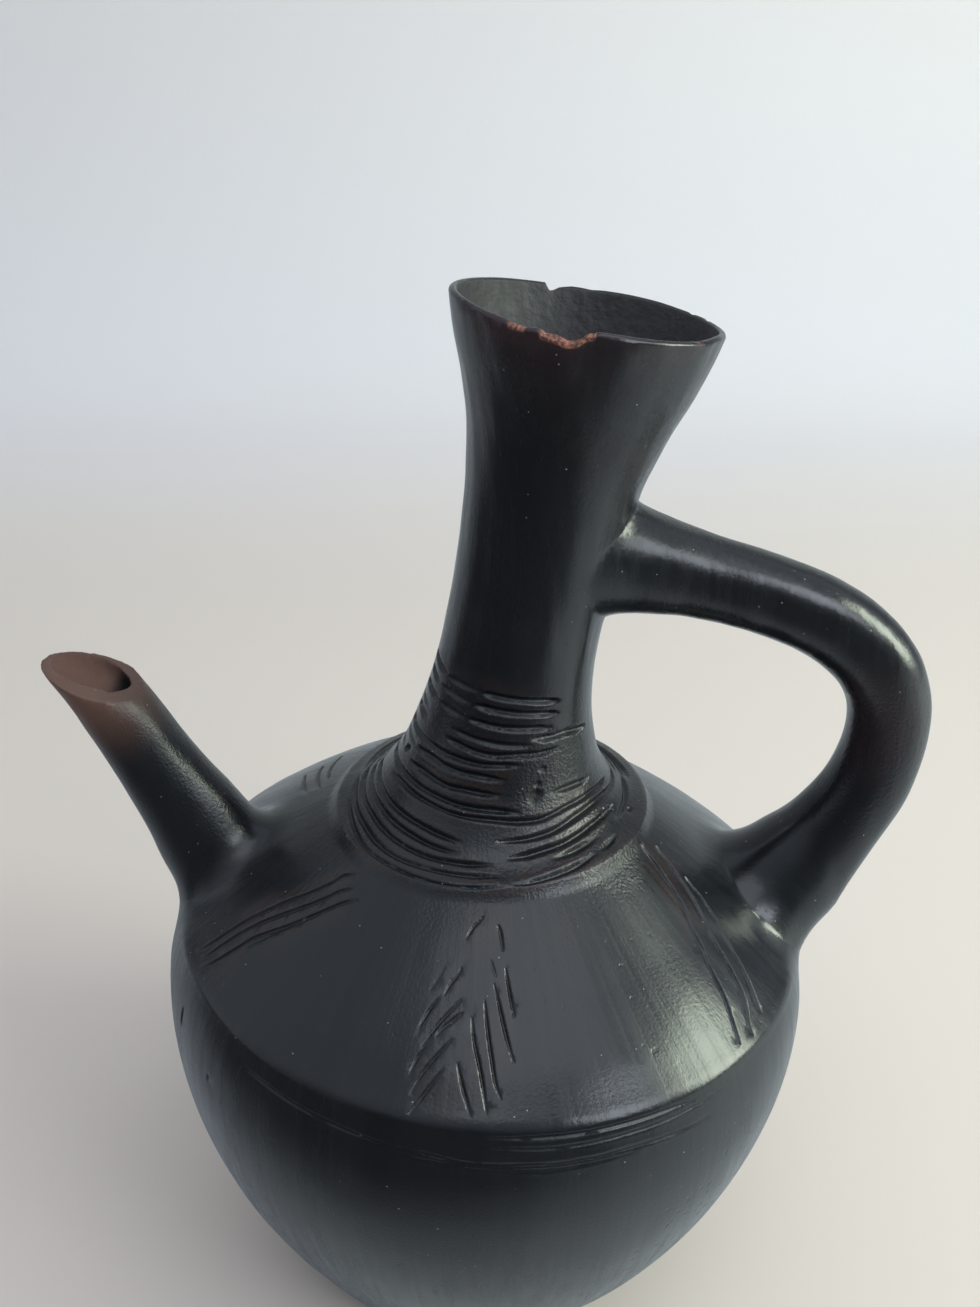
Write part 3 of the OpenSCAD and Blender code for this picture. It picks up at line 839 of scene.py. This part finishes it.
def swept_rings(path, normals, wide, across, sides, power=None):
    """Rings of a bar along a path in the plane Y = 0. A power above two gives them squarer sides."""
    a = np.arange(sides) * 2 * math.pi / sides
    ring = np.stack([np.cos(a), np.sin(a)], -1)
    if power is not None:
        size = (np.abs(ring[:, 0]) ** power + np.abs(ring[:, 1]) ** power) ** (-1 / power)
        ring = ring * size[:, None]
    n3 = np.stack([normals[:, 0], np.zeros(len(normals)), normals[:, 1]], -1)
    p3 = np.stack([path[:, 0], np.zeros(len(path)), path[:, 1]], -1)
    y = np.array([0, 1.0, 0])
    return p3[:, None, :] + wide[:, None, None] * ring[None, :, 0, None] * n3[:, None, :] \
        + across[:, None, None] * ring[None, :, 1, None] * y


def path_normals(path):
    """Normals of a path in its plane."""
    d = unit(np.gradient(path, axis=0))
    return np.stack([d[:, 1], -d[:, 0]], -1)


def evenly(path, count):
    """Same path with even steps, and the distance along it."""
    d = lengths(path)
    at = np.linspace(0, d[-1], count)
    return points_at(path, d, at), at


def bar_object(name, rings):
    """Closed bar without chips."""
    obj = face_outward(tube_object(name, rings))
    count = len(obj.data.vertices)
    for item, value in (("facets", 0.4), ("steady", 0.0), ("chip", 0.0), ("inside", 0.0), ("tint", 0.0)):
        set_attribute(obj, item, np.full(count, value))
    return obj


def handle_object(shape):
    """Loop handle with flared joins."""
    start = shape.axis(HANDLE_S) + [6, 0.5]
    turn = np.array([92.5, 152.0])
    end = np.array([shape.edge_r - 14, 101.0])
    top = bend([start, start + [36, -4], [92.5, 181], turn], np.linspace(0, 1, 200))
    low = bend([turn, [92.5, 134], end + [21, 18], end], np.linspace(0, 1, 200))[1:]
    path, at = evenly(np.concatenate([top, low]), 170)
    u = at / at[-1]
    knots = np.array([1.36, 1.08, 0.97, 0.95, 0.98, 1, 1, 1.02, 1.12, 1.38, 1.56])
    size = 9.2 * flowing(u, np.linspace(0, 1, len(knots)), knots)
    # Clay smeared out sideways on the neck, less on the shoulder
    across = size * 0.96 + flowing(at, (0, 5, 9, 14, 21, 34, 400), (3.4, 2.9, 2.2, 1.4, 0.6, 0, 0))
    across = across + 3.2 * np.exp(-(np.maximum(at[-1] - at - 12, 0) / 8) ** 1.5)
    size = size + 1.0 * np.exp(-(np.maximum(at - 8, 0) / 7) ** 1.5)
    raised = 1.7 * np.exp(-(np.maximum(at - 11, 0) / 15) ** 1.5) \
        + 1.6 * np.exp(-(np.maximum(at[-1] - at - 14, 0) / 14) ** 1.5)
    normals = path_normals(path)
    rings = swept_rings(path - raised[:, None] * normals, normals, size + raised, across, 128, power=2.2)
    return bar_object("handle", rings)


def spout_path(shape):
    """Middle line of the spout, from inside the belly to beyond the tip."""
    tip = np.array(SPOUT_TIP)
    root = np.array([-(shape.edge_r - 22), 99.0])
    curve = bend([root, [-(shape.edge_r - 3), 118], tip + [10, -20], tip], np.linspace(0, 1, 200))
    way = unit((tip - (tip + [10, -20]))[None])[0]
    more = tip + way * np.linspace(0, PAST_TIP, 30)[1:, None]
    return np.concatenate([curve, more])


def spout_object(shape):
    """Outside of the spout, longer than needed at the tip."""
    path, at = evenly(spout_path(shape), 190)
    u = at / (at[-1] - PAST_TIP)
    knots = np.array([2.1, 1.78, 1.4, 1.18, 1.08, 1.03, 1.0, 0.98, 0.98])
    size = 8.5 * flowing(u, np.linspace(0, 1.143, len(knots)), knots)
    # The root flares towards the shoulder, the lip is pulled outward before the cut
    flare_at = (0, 0.25, 0.46, 0.6, 0.75, 0.95, 1.3)
    size = size + flowing(u, flare_at, (2.5, 2.4, 1.6, 0.85, 0.25, 0, 0))
    aside = flowing(u, flare_at, (0.5, 1.5, 2.1, 1.4, 0.5, 0, 0))
    pull = 0.55 * smooth(at[-1] - PAST_TIP - at, 8, -9)
    normals = path_normals(path)
    rings = swept_rings(path + (aside - pull)[:, None] * normals, normals, size + pull,
                        size - 0.8 * aside, 128)
    return bar_object("spout", rings)


def spout_bore_object(shape):
    """Bore of the spout, from the hollow to beyond the tip."""
    path, at = evenly(spout_path(shape), 110)
    below = at[-1] - PAST_TIP - at
    at_below = (-18, -6, 0, 4, 8, 12, 24, 40, 90)
    in_plane = flowing(below, at_below, (7.0, 6.4, 5.1, 3.7, 3.3, 4.2, 5.3, 5.8, 6.5))
    across = flowing(below, at_below, (6.6, 6.2, 5.8, 4.7, 3.7, 4.0, 5.3, 5.6, 6.3))
    shift = flowing(below, at_below, (-1.4, -1.3, 0.0, 1.4, 2.0, 1.2, 0.3, 1.2, 0.8))
    to_back = flowing(below, at_below, (1.5, 1.5, 1.4, 0.9, 0.4, 0.2, 0, 0, 0))
    normals = path_normals(path)
    path = path + shift[:, None] * normals
    start = path[0] + [6, -8]
    path = np.concatenate([start[None], path])
    in_plane = np.concatenate([in_plane[:1], in_plane])
    across = np.concatenate([across[:1], across])
    rings = swept_rings(path, path_normals(path), in_plane, across, 96)
    rings[..., 1] += np.append(to_back[:1], to_back)[:, None]
    obj = face_outward(tube_object("spout bore", rings))
    set_attribute(obj, "inside", np.ones(len(obj.data.vertices)))
    return obj


def tip_cut_object():
    """Block with a slightly domed underside that cuts the spout's tip at a slant."""
    nx, ny = 90, 66
    x = np.linspace(-24, 24, nx)
    y = np.linspace(-18, 18, ny)
    gx, gy = np.meshgrid(x, y, indexing="ij")
    a = math.radians(15.5)
    low = 0.3 * np.cos(gy / 5) - 0.3 + 0.15 * gy + 0.6
    top = np.full_like(gx, 30.0)

    def turned(gz):
        px = gx * math.cos(a) + gz * math.sin(a) + SPOUT_TIP[0]
        pz = -gx * math.sin(a) + gz * math.cos(a) + (SPOUT_TIP[1] - 1.5)
        return np.stack([px, gy, pz], -1).reshape(-1, 3)

    pts = np.concatenate([turned(low), turned(top)])
    faces = []
    n = nx * ny
    for i in range(nx - 1):
        for j in range(ny - 1):
            q = [i * ny + j, (i + 1) * ny + j, (i + 1) * ny + j + 1, i * ny + j + 1]
            faces.append(q[::-1])
            faces.append([k + n for k in q])
    rim = [i * ny for i in range(nx)] + [(nx - 1) * ny + j for j in range(1, ny)] \
        + [i * ny + ny - 1 for i in range(nx - 2, -1, -1)] + list(range(ny - 2, 0, -1))
    for p, q in zip(rim, rim[1:] + rim[:1]):
        faces.append([p, q, q + n, p + n])
    return face_outward(mesh_object("tip cut", pts, faces))


def soften_seams(obj, centres):
    """Smooths the mesh near the seams where parts meet. Each centre has its reach, spread and rounds."""
    mesh = obj.data
    n = len(mesh.vertices)
    co = read(mesh.vertices, "co", 3, np.float32).astype(float) / MM
    edges = read(mesh.edges, "vertices", 2)
    loops = read(mesh.loops, "vertex_index")
    owner = np.repeat(read(mesh.polygons, "material_index"), read(mesh.polygons, "loop_total"))
    low = np.full(n, 99)
    high = np.full(n, -1)
    np.minimum.at(low, loops, owner)
    np.maximum.at(high, loops, owner)
    seam = low != high
    for centre, reach, spread, rounds in centres:
        close = np.linalg.norm(co - np.array(centre), axis=1) < reach
        e = edges[close[edges[:, 0]] & close[edges[:, 1]]]
        length = np.linalg.norm(co[e[:, 0]] - co[e[:, 1]], axis=1)
        away = np.where(seam & close, 0.0, 1e6)
        # Distance from the seam along the mesh
        for _ in range(90):
            before = away.copy()
            np.minimum.at(away, e[:, 0], before[e[:, 1]] + length)
            np.minimum.at(away, e[:, 1], before[e[:, 0]] + length)
            if np.array_equal(before, away):
                break
        weight = np.exp(-(np.minimum(away, 1e3) / spread) ** 2)
        weight[(weight < 0.02) | ~close] = 0
        live = np.nonzero(weight)[0]
        if len(live) == 0:
            raise RuntimeError("no seam near " + str(centre))
        mask = weight > 0
        e = e[mask[e[:, 0]] | mask[e[:, 1]]]
        length = np.linalg.norm(co[e[:, 0]] - co[e[:, 1]], axis=1)
        pull = 1 / np.maximum(length, 0.05)
        share = np.bincount(e[:, 0], pull, n) + np.bincount(e[:, 1], pull, n)
        for _ in range(rounds):
            total = np.stack([np.bincount(e[:, 0], co[e[:, 1], k] * pull, n)
                              + np.bincount(e[:, 1], co[e[:, 0], k] * pull, n) for k in range(3)], -1)
            target = total[live] / share[live][:, None]
            co[live] += (target - co[live]) * (0.6 * weight[live])[:, None]
    mesh.vertices.foreach_set("co", (co * MM).astype(np.float32).reshape(-1))
    mesh.update()


# Shader node groups and the clay

# Colours of details, as red, green, blue and alpha
PLUM = (0.036, 0.020, 0.024, 1)
# Near-black painted shade, deep in the spout's bore and in the small dents on the shoulder
HOLE_SHADE = (0.004, 0.004, 0.004, 1)
# Painted shade for the bottoms of the cut grooves and strokes
GROOVE_SHADE = (0.0035, 0.0035, 0.004, 1)
DUST = (0.42, 0.42, 0.42, 1)
SOOT = ((0.020, 0.019, 0.020, 1), (0.045, 0.043, 0.046, 1))
CHIP_SHADE = (0.10, 0.045, 0.036, 1)


def burnish_group():
    """Marks of the burnishing stone: fine lines along a chosen stretch of the coordinates."""
    group = new_group("Burnish marks", "ShaderNodeTree", (
        ("Vector", "NodeSocketVector", None), ("Stretch", "NodeSocketVector", (1, 1, 1)),
        ("Scale", "NodeSocketFloat", 300.0)), (("Fine", "NodeSocketFloat"), ("Broad", "NodeSocketFloat")))
    w = Wire(group)
    source = w.node("NodeGroupInput").outputs
    v = w.vector("MULTIPLY", source["Vector"], source["Stretch"])
    fine = w.noise(v, source["Scale"], 5.0, 0.62)
    broad = w.noise(v, w.times(source["Scale"], 0.22), 2.0)
    w.node("NodeGroupOutput", {"Fine": fine, "Broad": broad})
    return group


def specks_group():
    """Small scattered spots, as of dust or pores."""
    group = new_group("Specks", "ShaderNodeTree", (
        ("Vector", "NodeSocketVector", None), ("Scale", "NodeSocketFloat", 260.0),
        ("Size", "NodeSocketFloat", 0.09), ("Share", "NodeSocketFloat", 0.2)),
        (("Mask", "NodeSocketFloat"),))
    w = Wire(group)
    source = w.node("NodeGroupInput").outputs
    cell = w.node("ShaderNodeTexVoronoi", {"Vector": source["Vector"], "Scale": source["Scale"]},
                  feature="F1").outputs
    near = w.ramp(cell["Distance"], w.times(source["Size"], 0.5), source["Size"], 1.0, 0.0)
    chosen = w.node("ShaderNodeSeparateColor", {0: cell["Color"]}).outputs[0]
    keep = w.math("LESS_THAN", chosen, source["Share"])
    w.node("NodeGroupOutput", {"Mask": w.times(near, keep)})
    return group


def clay_material(colours, shape):
    """Burnished, smoked clay with brown wear on its edges and bare red clay in the chips."""
    mat = bpy.data.materials.new("burnished black clay")
    mat.use_nodes = True
    mat.node_tree.nodes.clear()
    w = Wire(mat.node_tree)
    place = w.node("ShaderNodeTexCoord").outputs["Object"]
    xyz = w.node("ShaderNodeSeparateXYZ", {0: place}).outputs
    height = xyz[2]
    burnish = burnish_group()
    specks = specks_group()

    def marks(stretch, vector):
        return w.node("ShaderNodeGroup", {"Vector": vector, "Stretch": stretch, "Scale": 420.0},
                      node_tree=burnish).outputs

    def spots(scale, size, share):
        return w.node("ShaderNodeGroup", {"Vector": place, "Scale": scale, "Size": size, "Share": share},
                      node_tree=specks).outputs[0]

    def near(point, full, none, most=1.0):
        return w.ramp(w.vector("DISTANCE", place, point), full, none, most, 0.0)

    def attribute(name):
        return w.node("ShaderNodeAttribute", attribute_name=name).outputs["Fac"]

    # Polar coordinates let the marks run down the shoulder and the belly
    level = w.vector("MULTIPLY", place, (1.0, 1.0, 0.0))
    reach = w.plus(w.vector("LENGTH", level), height)
    upward = w.node("ShaderNodeCombineXYZ", {2: w.times(reach, 0.11)}).outputs[0]
    around = w.vector("MULTIPLY", w.vector("NORMALIZE", level), (0.085, 0.085, 0.0))
    body = marks((1.0, 1.0, 1.0), w.vector("ADD", around, upward))
    upright = marks((1.5, 1.5, 0.16), place)
    is_neck = w.ramp(height, 0.136, 0.146)
    fine, broad = (w.node("ShaderNodeMix", {0: is_neck, 2: body[name], 3: upright[name]},
                          data_type="FLOAT").outputs[0] for name in ("Fine", "Broad"))
    cloud = w.noise(place, 26.0, 4.0, 0.55)
    grain = w.noise(place, 1500.0, 3.0)
    chip, tint, inside, groove, edge = (attribute(name) for name in (
        "chip", "tint", "inside", "groove", "edge"))
    outside = w.minus(1.0, inside)
    broken = w.most(inside, chip)

    # Brown tint on raised edges, at the spout's tip and in soft clouds
    to_tip = w.vector("DISTANCE", place, (-0.096, 0.0, 0.169))
    tip = w.ramp(w.plus(to_tip, w.times(cloud, 0.012)), 0.014, 0.038, 1.0, 0.0)
    worn = w.times(edge, w.ramp(cloud, 0.36, 0.62), clamp=True)
    brown_share = w.most(w.times(worn, 0.10), w.times(tip, 0.85), clamp=True)
    brown_share = w.plus(brown_share, w.times(w.ramp(cloud, 0.55, 0.75), 0.03), clamp=True)
    inner_bend = near((0.083, -0.008, 0.155), 0.006, 0.021, 0.6)
    plum = w.times(w.most(tint, inner_bend), w.ramp(cloud, 0.3, 0.6, 0.35, 0.8), clamp=True)
    # Small dents: the bump sinks them a little and their dark colour is painted shade
    dent = 0.0
    for degrees, radius, size in MARKS:
        spot = shape.place(radius, shape.height_at(radius), math.radians(degrees)) * MM
        dent = w.most(dent, near(tuple(spot), size * 0.6 * MM, size * 1.2 * MM))

    # Each colour is laid over the ones before it
    clay = (*colours.clay, 1)
    paler = (*(c * 1.7 for c in colours.clay), 1)
    brown = (*colours.brown, 1)
    chip_tone = w.mix(w.ramp(grain, 0.35, 0.6), (*colours.bare, 1), CHIP_SHADE)
    ragged = w.plus(chip, w.times(w.minus(grain, 0.5), 0.5))
    colour = w.mix(w.ramp(broad, 0.3, 0.72, 0.0, 0.5), clay, paler)
    for share, over in (
            (brown_share, brown),
            (plum, PLUM),
            # Painted shade in the small dents
            (w.times(dent, 0.8), HOLE_SHADE),
            (w.times(w.times(spots(400.0, 0.08, 0.3), outside), 0.55), DUST),
            # Painted shade in the cut grooves and strokes, darker where the cut is deeper
            (w.times(groove, 0.75), GROOVE_SHADE),
            (inside, w.mix(cloud, *SOOT)),
            (w.times(w.times(tip, inside), 0.85), brown),
            # Painted shade deep in the spout's bore, where the hole goes down
            (w.times(near((-0.0829, 0.0028, 0.1608), 0.0016, 0.0046), inside), HOLE_SHADE),
            (w.ramp(ragged, 0.22, 0.55, 0.0, 0.85), chip_tone)):
        colour = w.mix(share, colour, over)

    # The collar is coarser than the burnished walls, with two pebbly patches
    coarse = w.times(w.ramp(height, 0.124, 0.131), w.ramp(height, 0.158, 0.175, 1.0, 0.0))
    pebbly = w.most(near((0.0148, -0.0186, 0.150), 0.006, 0.013),
                    near((0.0263, -0.0228, 0.132), 0.005, 0.011))

    base = 0.43 - 0.36 * colours.gloss
    rough = w.ramp(w.plus(w.times(fine, 0.55), w.times(cloud, 0.45)), 0.34, 0.66, base - 0.03, base + 0.15,
                   kind="LINEAR")
    rough = w.plus(rough, w.times(tip, 0.18))
    rough = w.plus(rough, w.times(groove, 0.25))
    rough = w.plus(rough, w.ramp(xyz[0], -0.076, -0.066, 0.08, 0.0))
    rough = w.plus(rough, w.times(broken, 0.4), clamp=True)
    rough = w.plus(rough, w.times(w.plus(w.times(coarse, 0.06), pebbly), 0.12))

    pits = w.plus(spots(520.0, 0.16, 0.10), w.times(
        w.times(spots(420.0, 0.34, 0.55), near((0.052, -0.052, 0.052), 0.016, 0.034)), 2.4))
    grainy = w.plus(w.times(coarse, 0.5), w.times(pebbly, 1.3))
    relief = w.plus(w.times(fine, 0.36), w.times(broad, 0.8))
    relief = w.plus(relief, w.times(grain, w.plus(w.times(grainy, outside), 0.22)))
    relief = w.minus(relief, w.times(dent, 0.25))
    relief = w.minus(relief, w.times(pits, 0.45))
    relief = w.plus(relief, w.times(w.noise(place, 420.0, 4.0), w.times(broken, 3.0)))
    bump = w.node("ShaderNodeBump", {"Strength": 0.26, "Distance": 0.0006, "Height": relief})

    shader = w.node("ShaderNodeBsdfPrincipled", {"Base Color": colour, "Roughness": rough,
                                                 "IOR": 1.52, "Normal": bump.outputs[0]})
    w.node("ShaderNodeOutputMaterial", {"Surface": shader.outputs[0]})
    return mat


def edge_attribute(obj):
    """Stores how sharply the surface bulges outward at each point, for worn edges."""
    mesh = obj.data
    n = len(mesh.vertices)
    co = read(mesh.vertices, "co", 3, np.float32).astype(float)
    normal = read(mesh.vertices, "normal", 3, np.float32)
    edges = read(mesh.edges, "vertices", 2)
    d = co[edges[:, 1]] - co[edges[:, 0]]
    bulge = ((normal[edges[:, 1]] - normal[edges[:, 0]]) * d).sum(1) / np.maximum((d ** 2).sum(1), 1e-12)
    total = np.zeros(n)
    share = np.zeros(n)
    for k in (0, 1):
        np.add.at(total, edges[:, k], bulge)
        np.add.at(share, edges[:, k], 1)
    share = np.maximum(share, 1)
    value = total / share
    for _ in range(12):
        total = np.zeros(n)
        np.add.at(total, edges[:, 0], value[edges[:, 1]])
        np.add.at(total, edges[:, 1], value[edges[:, 0]])
        value = 0.5 * value + 0.5 * total / share
    set_attribute(obj, "edge", np.clip((value - 40) / 90, 0, 1))


class POT_OT_piece(bpy.types.Operator):
    """Builds the pot as one closed piece of clay"""
    bl_idname = "object.coffee_pot_piece"
    bl_label = "Build the pot"

    def execute(self, context):
        sizes = context.scene.pot_sizes
        shape = Shape(sizes)
        clay = clay_material(context.scene.pot_colours, shape)
        lines = line_drawing(shape, sizes.ring_depth / MM, sizes.stroke_depth / MM)
        cut_group = cut_lines_group()
        hand_group = hand_shaped_group()

        def shaped_by_hand(part, amount, facets, seed):
            add_group(part, hand_group, {"Amount": sizes.unevenness * amount, "Facets": facets,
                                         "Seed": float(seed)})
            return baked(part, part.name)

        wall = wall_object(shape, sizes.wear)
        add_group(wall, cut_group, {"Lines": lines, "Strength": 1.0, "Roughness": 0.5,
                                    "Seed": float(sizes.seed)})
        parts = [shaped_by_hand(wall, 2, 0.0007, sizes.seed)]
        for k, make in enumerate((handle_object, spout_object)):
            part = shaped_by_hand(make(shape), 4, 0.0012, sizes.seed + k + 1)
            parts.append(combined(part, hollow_object(shape, 1.2), "DIFFERENCE"))

        # The faces of each part carry its number until the seams between the parts are soft
        parts += [tip_cut_object(), spout_bore_object(shape)]
        sides = [bpy.data.materials.new(f"side {k}") for k in range(len(parts))]
        for k, part in enumerate(parts):
            part.data.materials.clear()
            for side in sides:
                part.data.materials.append(side)
            part.data.polygons.foreach_set("material_index", np.full(len(part.data.polygons), k, np.int32))
        wall, handle, spout, tip_cut, bore = parts
        pot = combined(combined(wall, handle, "UNION"), spout, "UNION")
        neck_join = shape.axis(HANDLE_S)
        soften_seams(pot, (((neck_join[0] + 14, 0, neck_join[1]), 42, 2.6, 40), ((74, 0, 105), 46, 7.5, 420),
                           ((-66, 0, 112), 50, 7.5, 420)))
        pot = combined(combined(pot, tip_cut, "DIFFERENCE"), bore, "DIFFERENCE")
        soften_seams(pot, (((SPOUT_TIP[0], 0, SPOUT_TIP[1]), 20, 1.3, 26),
                           ((-77.5, -2, 162.5), 9, 2.8, 110)))
        mesh = pot.data
        mesh.materials.clear()
        mesh.materials.append(clay)
        mesh.polygons.foreach_set("material_index", np.zeros(len(mesh.polygons), np.int32))
        count = triangles(mesh)
        if count > TRIANGLE_LIMIT:
            m = pot.modifiers.new("fewer", "DECIMATE")
            m.ratio = TRIANGLE_AIM / count
            pot = baked(pot, "pot")
        pot.name = PIECE_NAME
        pot.data.name = PIECE_NAME
        pot.data.shade_smooth()
        edge_attribute(pot)
        remove(lines)
        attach(pot, "root")
        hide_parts("coffee_pot")
        print("pot triangles", triangles(pot.data))
        return {"FINISHED"}


# Stage

# What the clay mirrors of the floor: a cool tone, as under daylight, and painted shade near the camera
MIRRORED_FLOOR = (0.60, 0.615, 0.635, 1)
FLOOR_SHADE_IN_REFLECTIONS = (0.02, 0.02, 0.02, 1)
# Name, place, target, size, power in watts and colour of each light
LIGHTS = (
    ("window", (1.21, -0.19, 0.55), (0, 0, 0.13), (0.5, 0.62), 12, (0.89, 1.0, 0.82)),
    ("side window", (0.78, -0.70, 0.72), (0, 0, 0.11), (0.45, 0.45), 3.4, (0.84, 0.91, 1.0)),
    ("skylight", (0.30, -0.50, 1.5), (0, 0, 0.1), (1.3, 1.0), 5, (0.88, 0.93, 1.0)),
)
# The camera, from the outlines in the photograph: place, angle below level and focal length in pixels
CAMERA_PLACE = (0.0007, -0.24111, 0.28979)
CAMERA_DOWN = 26.35
FOCAL = 1200.0
PICTURE_HEIGHT = 1307.0
SENSOR = 36.0


def floor_material(near, far):
    """Matt pale floor that turns into the paler backdrop behind the object. Reflections see it in a cool
    tone, with painted shade near the camera.
    """
    mat = bpy.data.materials.new("pale floor")
    mat.use_nodes = True
    w = Wire(mat.node_tree)
    xyz = w.node("ShaderNodeSeparateXYZ", {0: w.node("ShaderNodeTexCoord").outputs["Object"]}).outputs
    shader = mat.node_tree.nodes["Principled BSDF"]
    colour = w.mix(w.ramp(xyz[1], 0.35, 0.95), (*near, 1), (*far, 1))
    mirrored = w.node("ShaderNodeLightPath").outputs["Is Glossy Ray"]
    along = w.plus(xyz[1], w.times(xyz[0], 0.5))
    # Painted shade: to glossy rays the floor turns dark towards the camera
    dim = w.times(mirrored, w.ramp(along, -0.23, -0.05, 0.93, 0.0))
    colour = w.mix(mirrored, colour, MIRRORED_FLOOR)
    w.put(w.mix(dim, colour, FLOOR_SHADE_IN_REFLECTIONS), shader.inputs["Base Color"])
    shader.inputs["Roughness"].default_value = 0.6
    return mat


def area_light(name, place, target, size, power, colour):
    """Soft rectangular light that looks at a target."""
    light = bpy.data.lights.new(name, "AREA")
    light.shape = "RECTANGLE"
    light.size, light.size_y = size
    light.energy = power
    light.color = colour
    obj = bpy.data.objects.new(name, light)
    obj.location = place
    obj.rotation_euler = (Vector(target) - Vector(place)).to_track_quat("-Z", "Y").to_euler()
    bpy.context.collection.objects.link(obj)


class POT_OT_stage(bpy.types.Operator):
    """Builds the pale floor with its backdrop, the soft lights and the camera"""
    bl_idname = "object.coffee_pot_stage"
    bl_label = "Build the stage"

    def execute(self, context):
        colours = context.scene.pot_colours
        depth, rise, radius = 0.75, 1.6, 0.35
        profile = [(-2.5, 0.0)]
        for k in range(13):
            a = math.radians(90 * k / 12)
            profile.append((depth + radius * math.sin(a), radius * (1 - math.cos(a))))
        profile.append((depth + radius, rise))
        pts = [(x, y, z) for y, z in profile for x in (-3.0, 3.0)]
        faces = [[2 * k, 2 * k + 1, 2 * k + 3, 2 * k + 2] for k in range(len(profile) - 1)]
        mesh = bpy.data.meshes.new("floor")
        mesh.from_pydata(pts, [], faces)
        mesh.shade_smooth()
        floor = bpy.data.objects.new("floor", mesh)
        floor.data.materials.append(floor_material(colours.floor, colours.backdrop))
        bpy.context.collection.objects.link(floor)

        for light in LIGHTS:
            area_light(*light)

        world = bpy.data.worlds.new("soft daylight")
        world.use_nodes = True
        w = Wire(world.node_tree)
        direction = w.node("ShaderNodeTexCoord").outputs["Generated"]
        toward = w.node("ShaderNodeSeparateXYZ", {0: direction}).outputs
        # The room is dim towards the camera and bright above and to the right
        front = w.times(w.ramp(toward[1], -0.9, 0.1, 1.0, 0.0), w.ramp(toward[2], 0.1, 0.75, 1.0, 0.25))
        level = w.minus(0.68, w.times(front, 0.60))
        level = w.plus(level, w.times(w.ramp(toward[0], 0.0, 0.9), 0.12))
        # Beyond the floor's edge the camera sees a pale backdrop from every side
        seen = w.node("ShaderNodeLightPath").outputs["Is Camera Ray"]
        level = w.most(level, w.times(seen, 0.78))
        back = world.node_tree.nodes["Background"]
        back.inputs["Color"].default_value = (0.80, 0.89, 1.0, 1)
        w.put(level, back.inputs["Strength"])
        context.scene.world = world

        data = bpy.data.cameras.new("camera")
        data.lens = FOCAL * SENSOR / PICTURE_HEIGHT
        data.sensor_width = SENSOR
        camera = bpy.data.objects.new("camera", data)
        camera.location = CAMERA_PLACE
        camera.rotation_euler = (math.radians(90 - CAMERA_DOWN), 0, 0)
        bpy.context.collection.objects.link(camera)
        context.scene.camera = camera
        context.scene.view_settings.view_transform = "Standard"
        return {"FINISHED"}


class POT_PT_panel(bpy.types.Panel):
    """Lists the sizes and colours of the pot and the buttons that build it"""
    bl_label = "Clay coffee pot"
    bl_idname = "POT_PT_panel"
    bl_space_type = "VIEW_3D"
    bl_region_type = "UI"
    bl_category = "Coffee pot"

    def draw(self, context):
        for group in (context.scene.pot_sizes, context.scene.pot_colours):
            box = self.layout.box()
            for name in group.__annotations__:
                box.prop(group, name)
        self.layout.operator(POT_OT_piece.bl_idname)
        self.layout.operator(POT_OT_stage.bl_idname)


CLASSES = (PotSizes, PotColours, POT_OT_piece, POT_OT_stage, POT_PT_panel)


def register():
    for item in CLASSES:
        bpy.utils.register_class(item)
    bpy.types.Scene.pot_sizes = PointerProperty(type=PotSizes)
    bpy.types.Scene.pot_colours = PointerProperty(type=PotColours)


def unregister():
    del bpy.types.Scene.pot_colours
    del bpy.types.Scene.pot_sizes
    for item in reversed(CLASSES):
        bpy.utils.unregister_class(item)


def main():
    register()
    bpy.ops.object.coffee_pot_piece()
    bpy.ops.object.coffee_pot_stage()


if __name__ == "__main__":
    main()
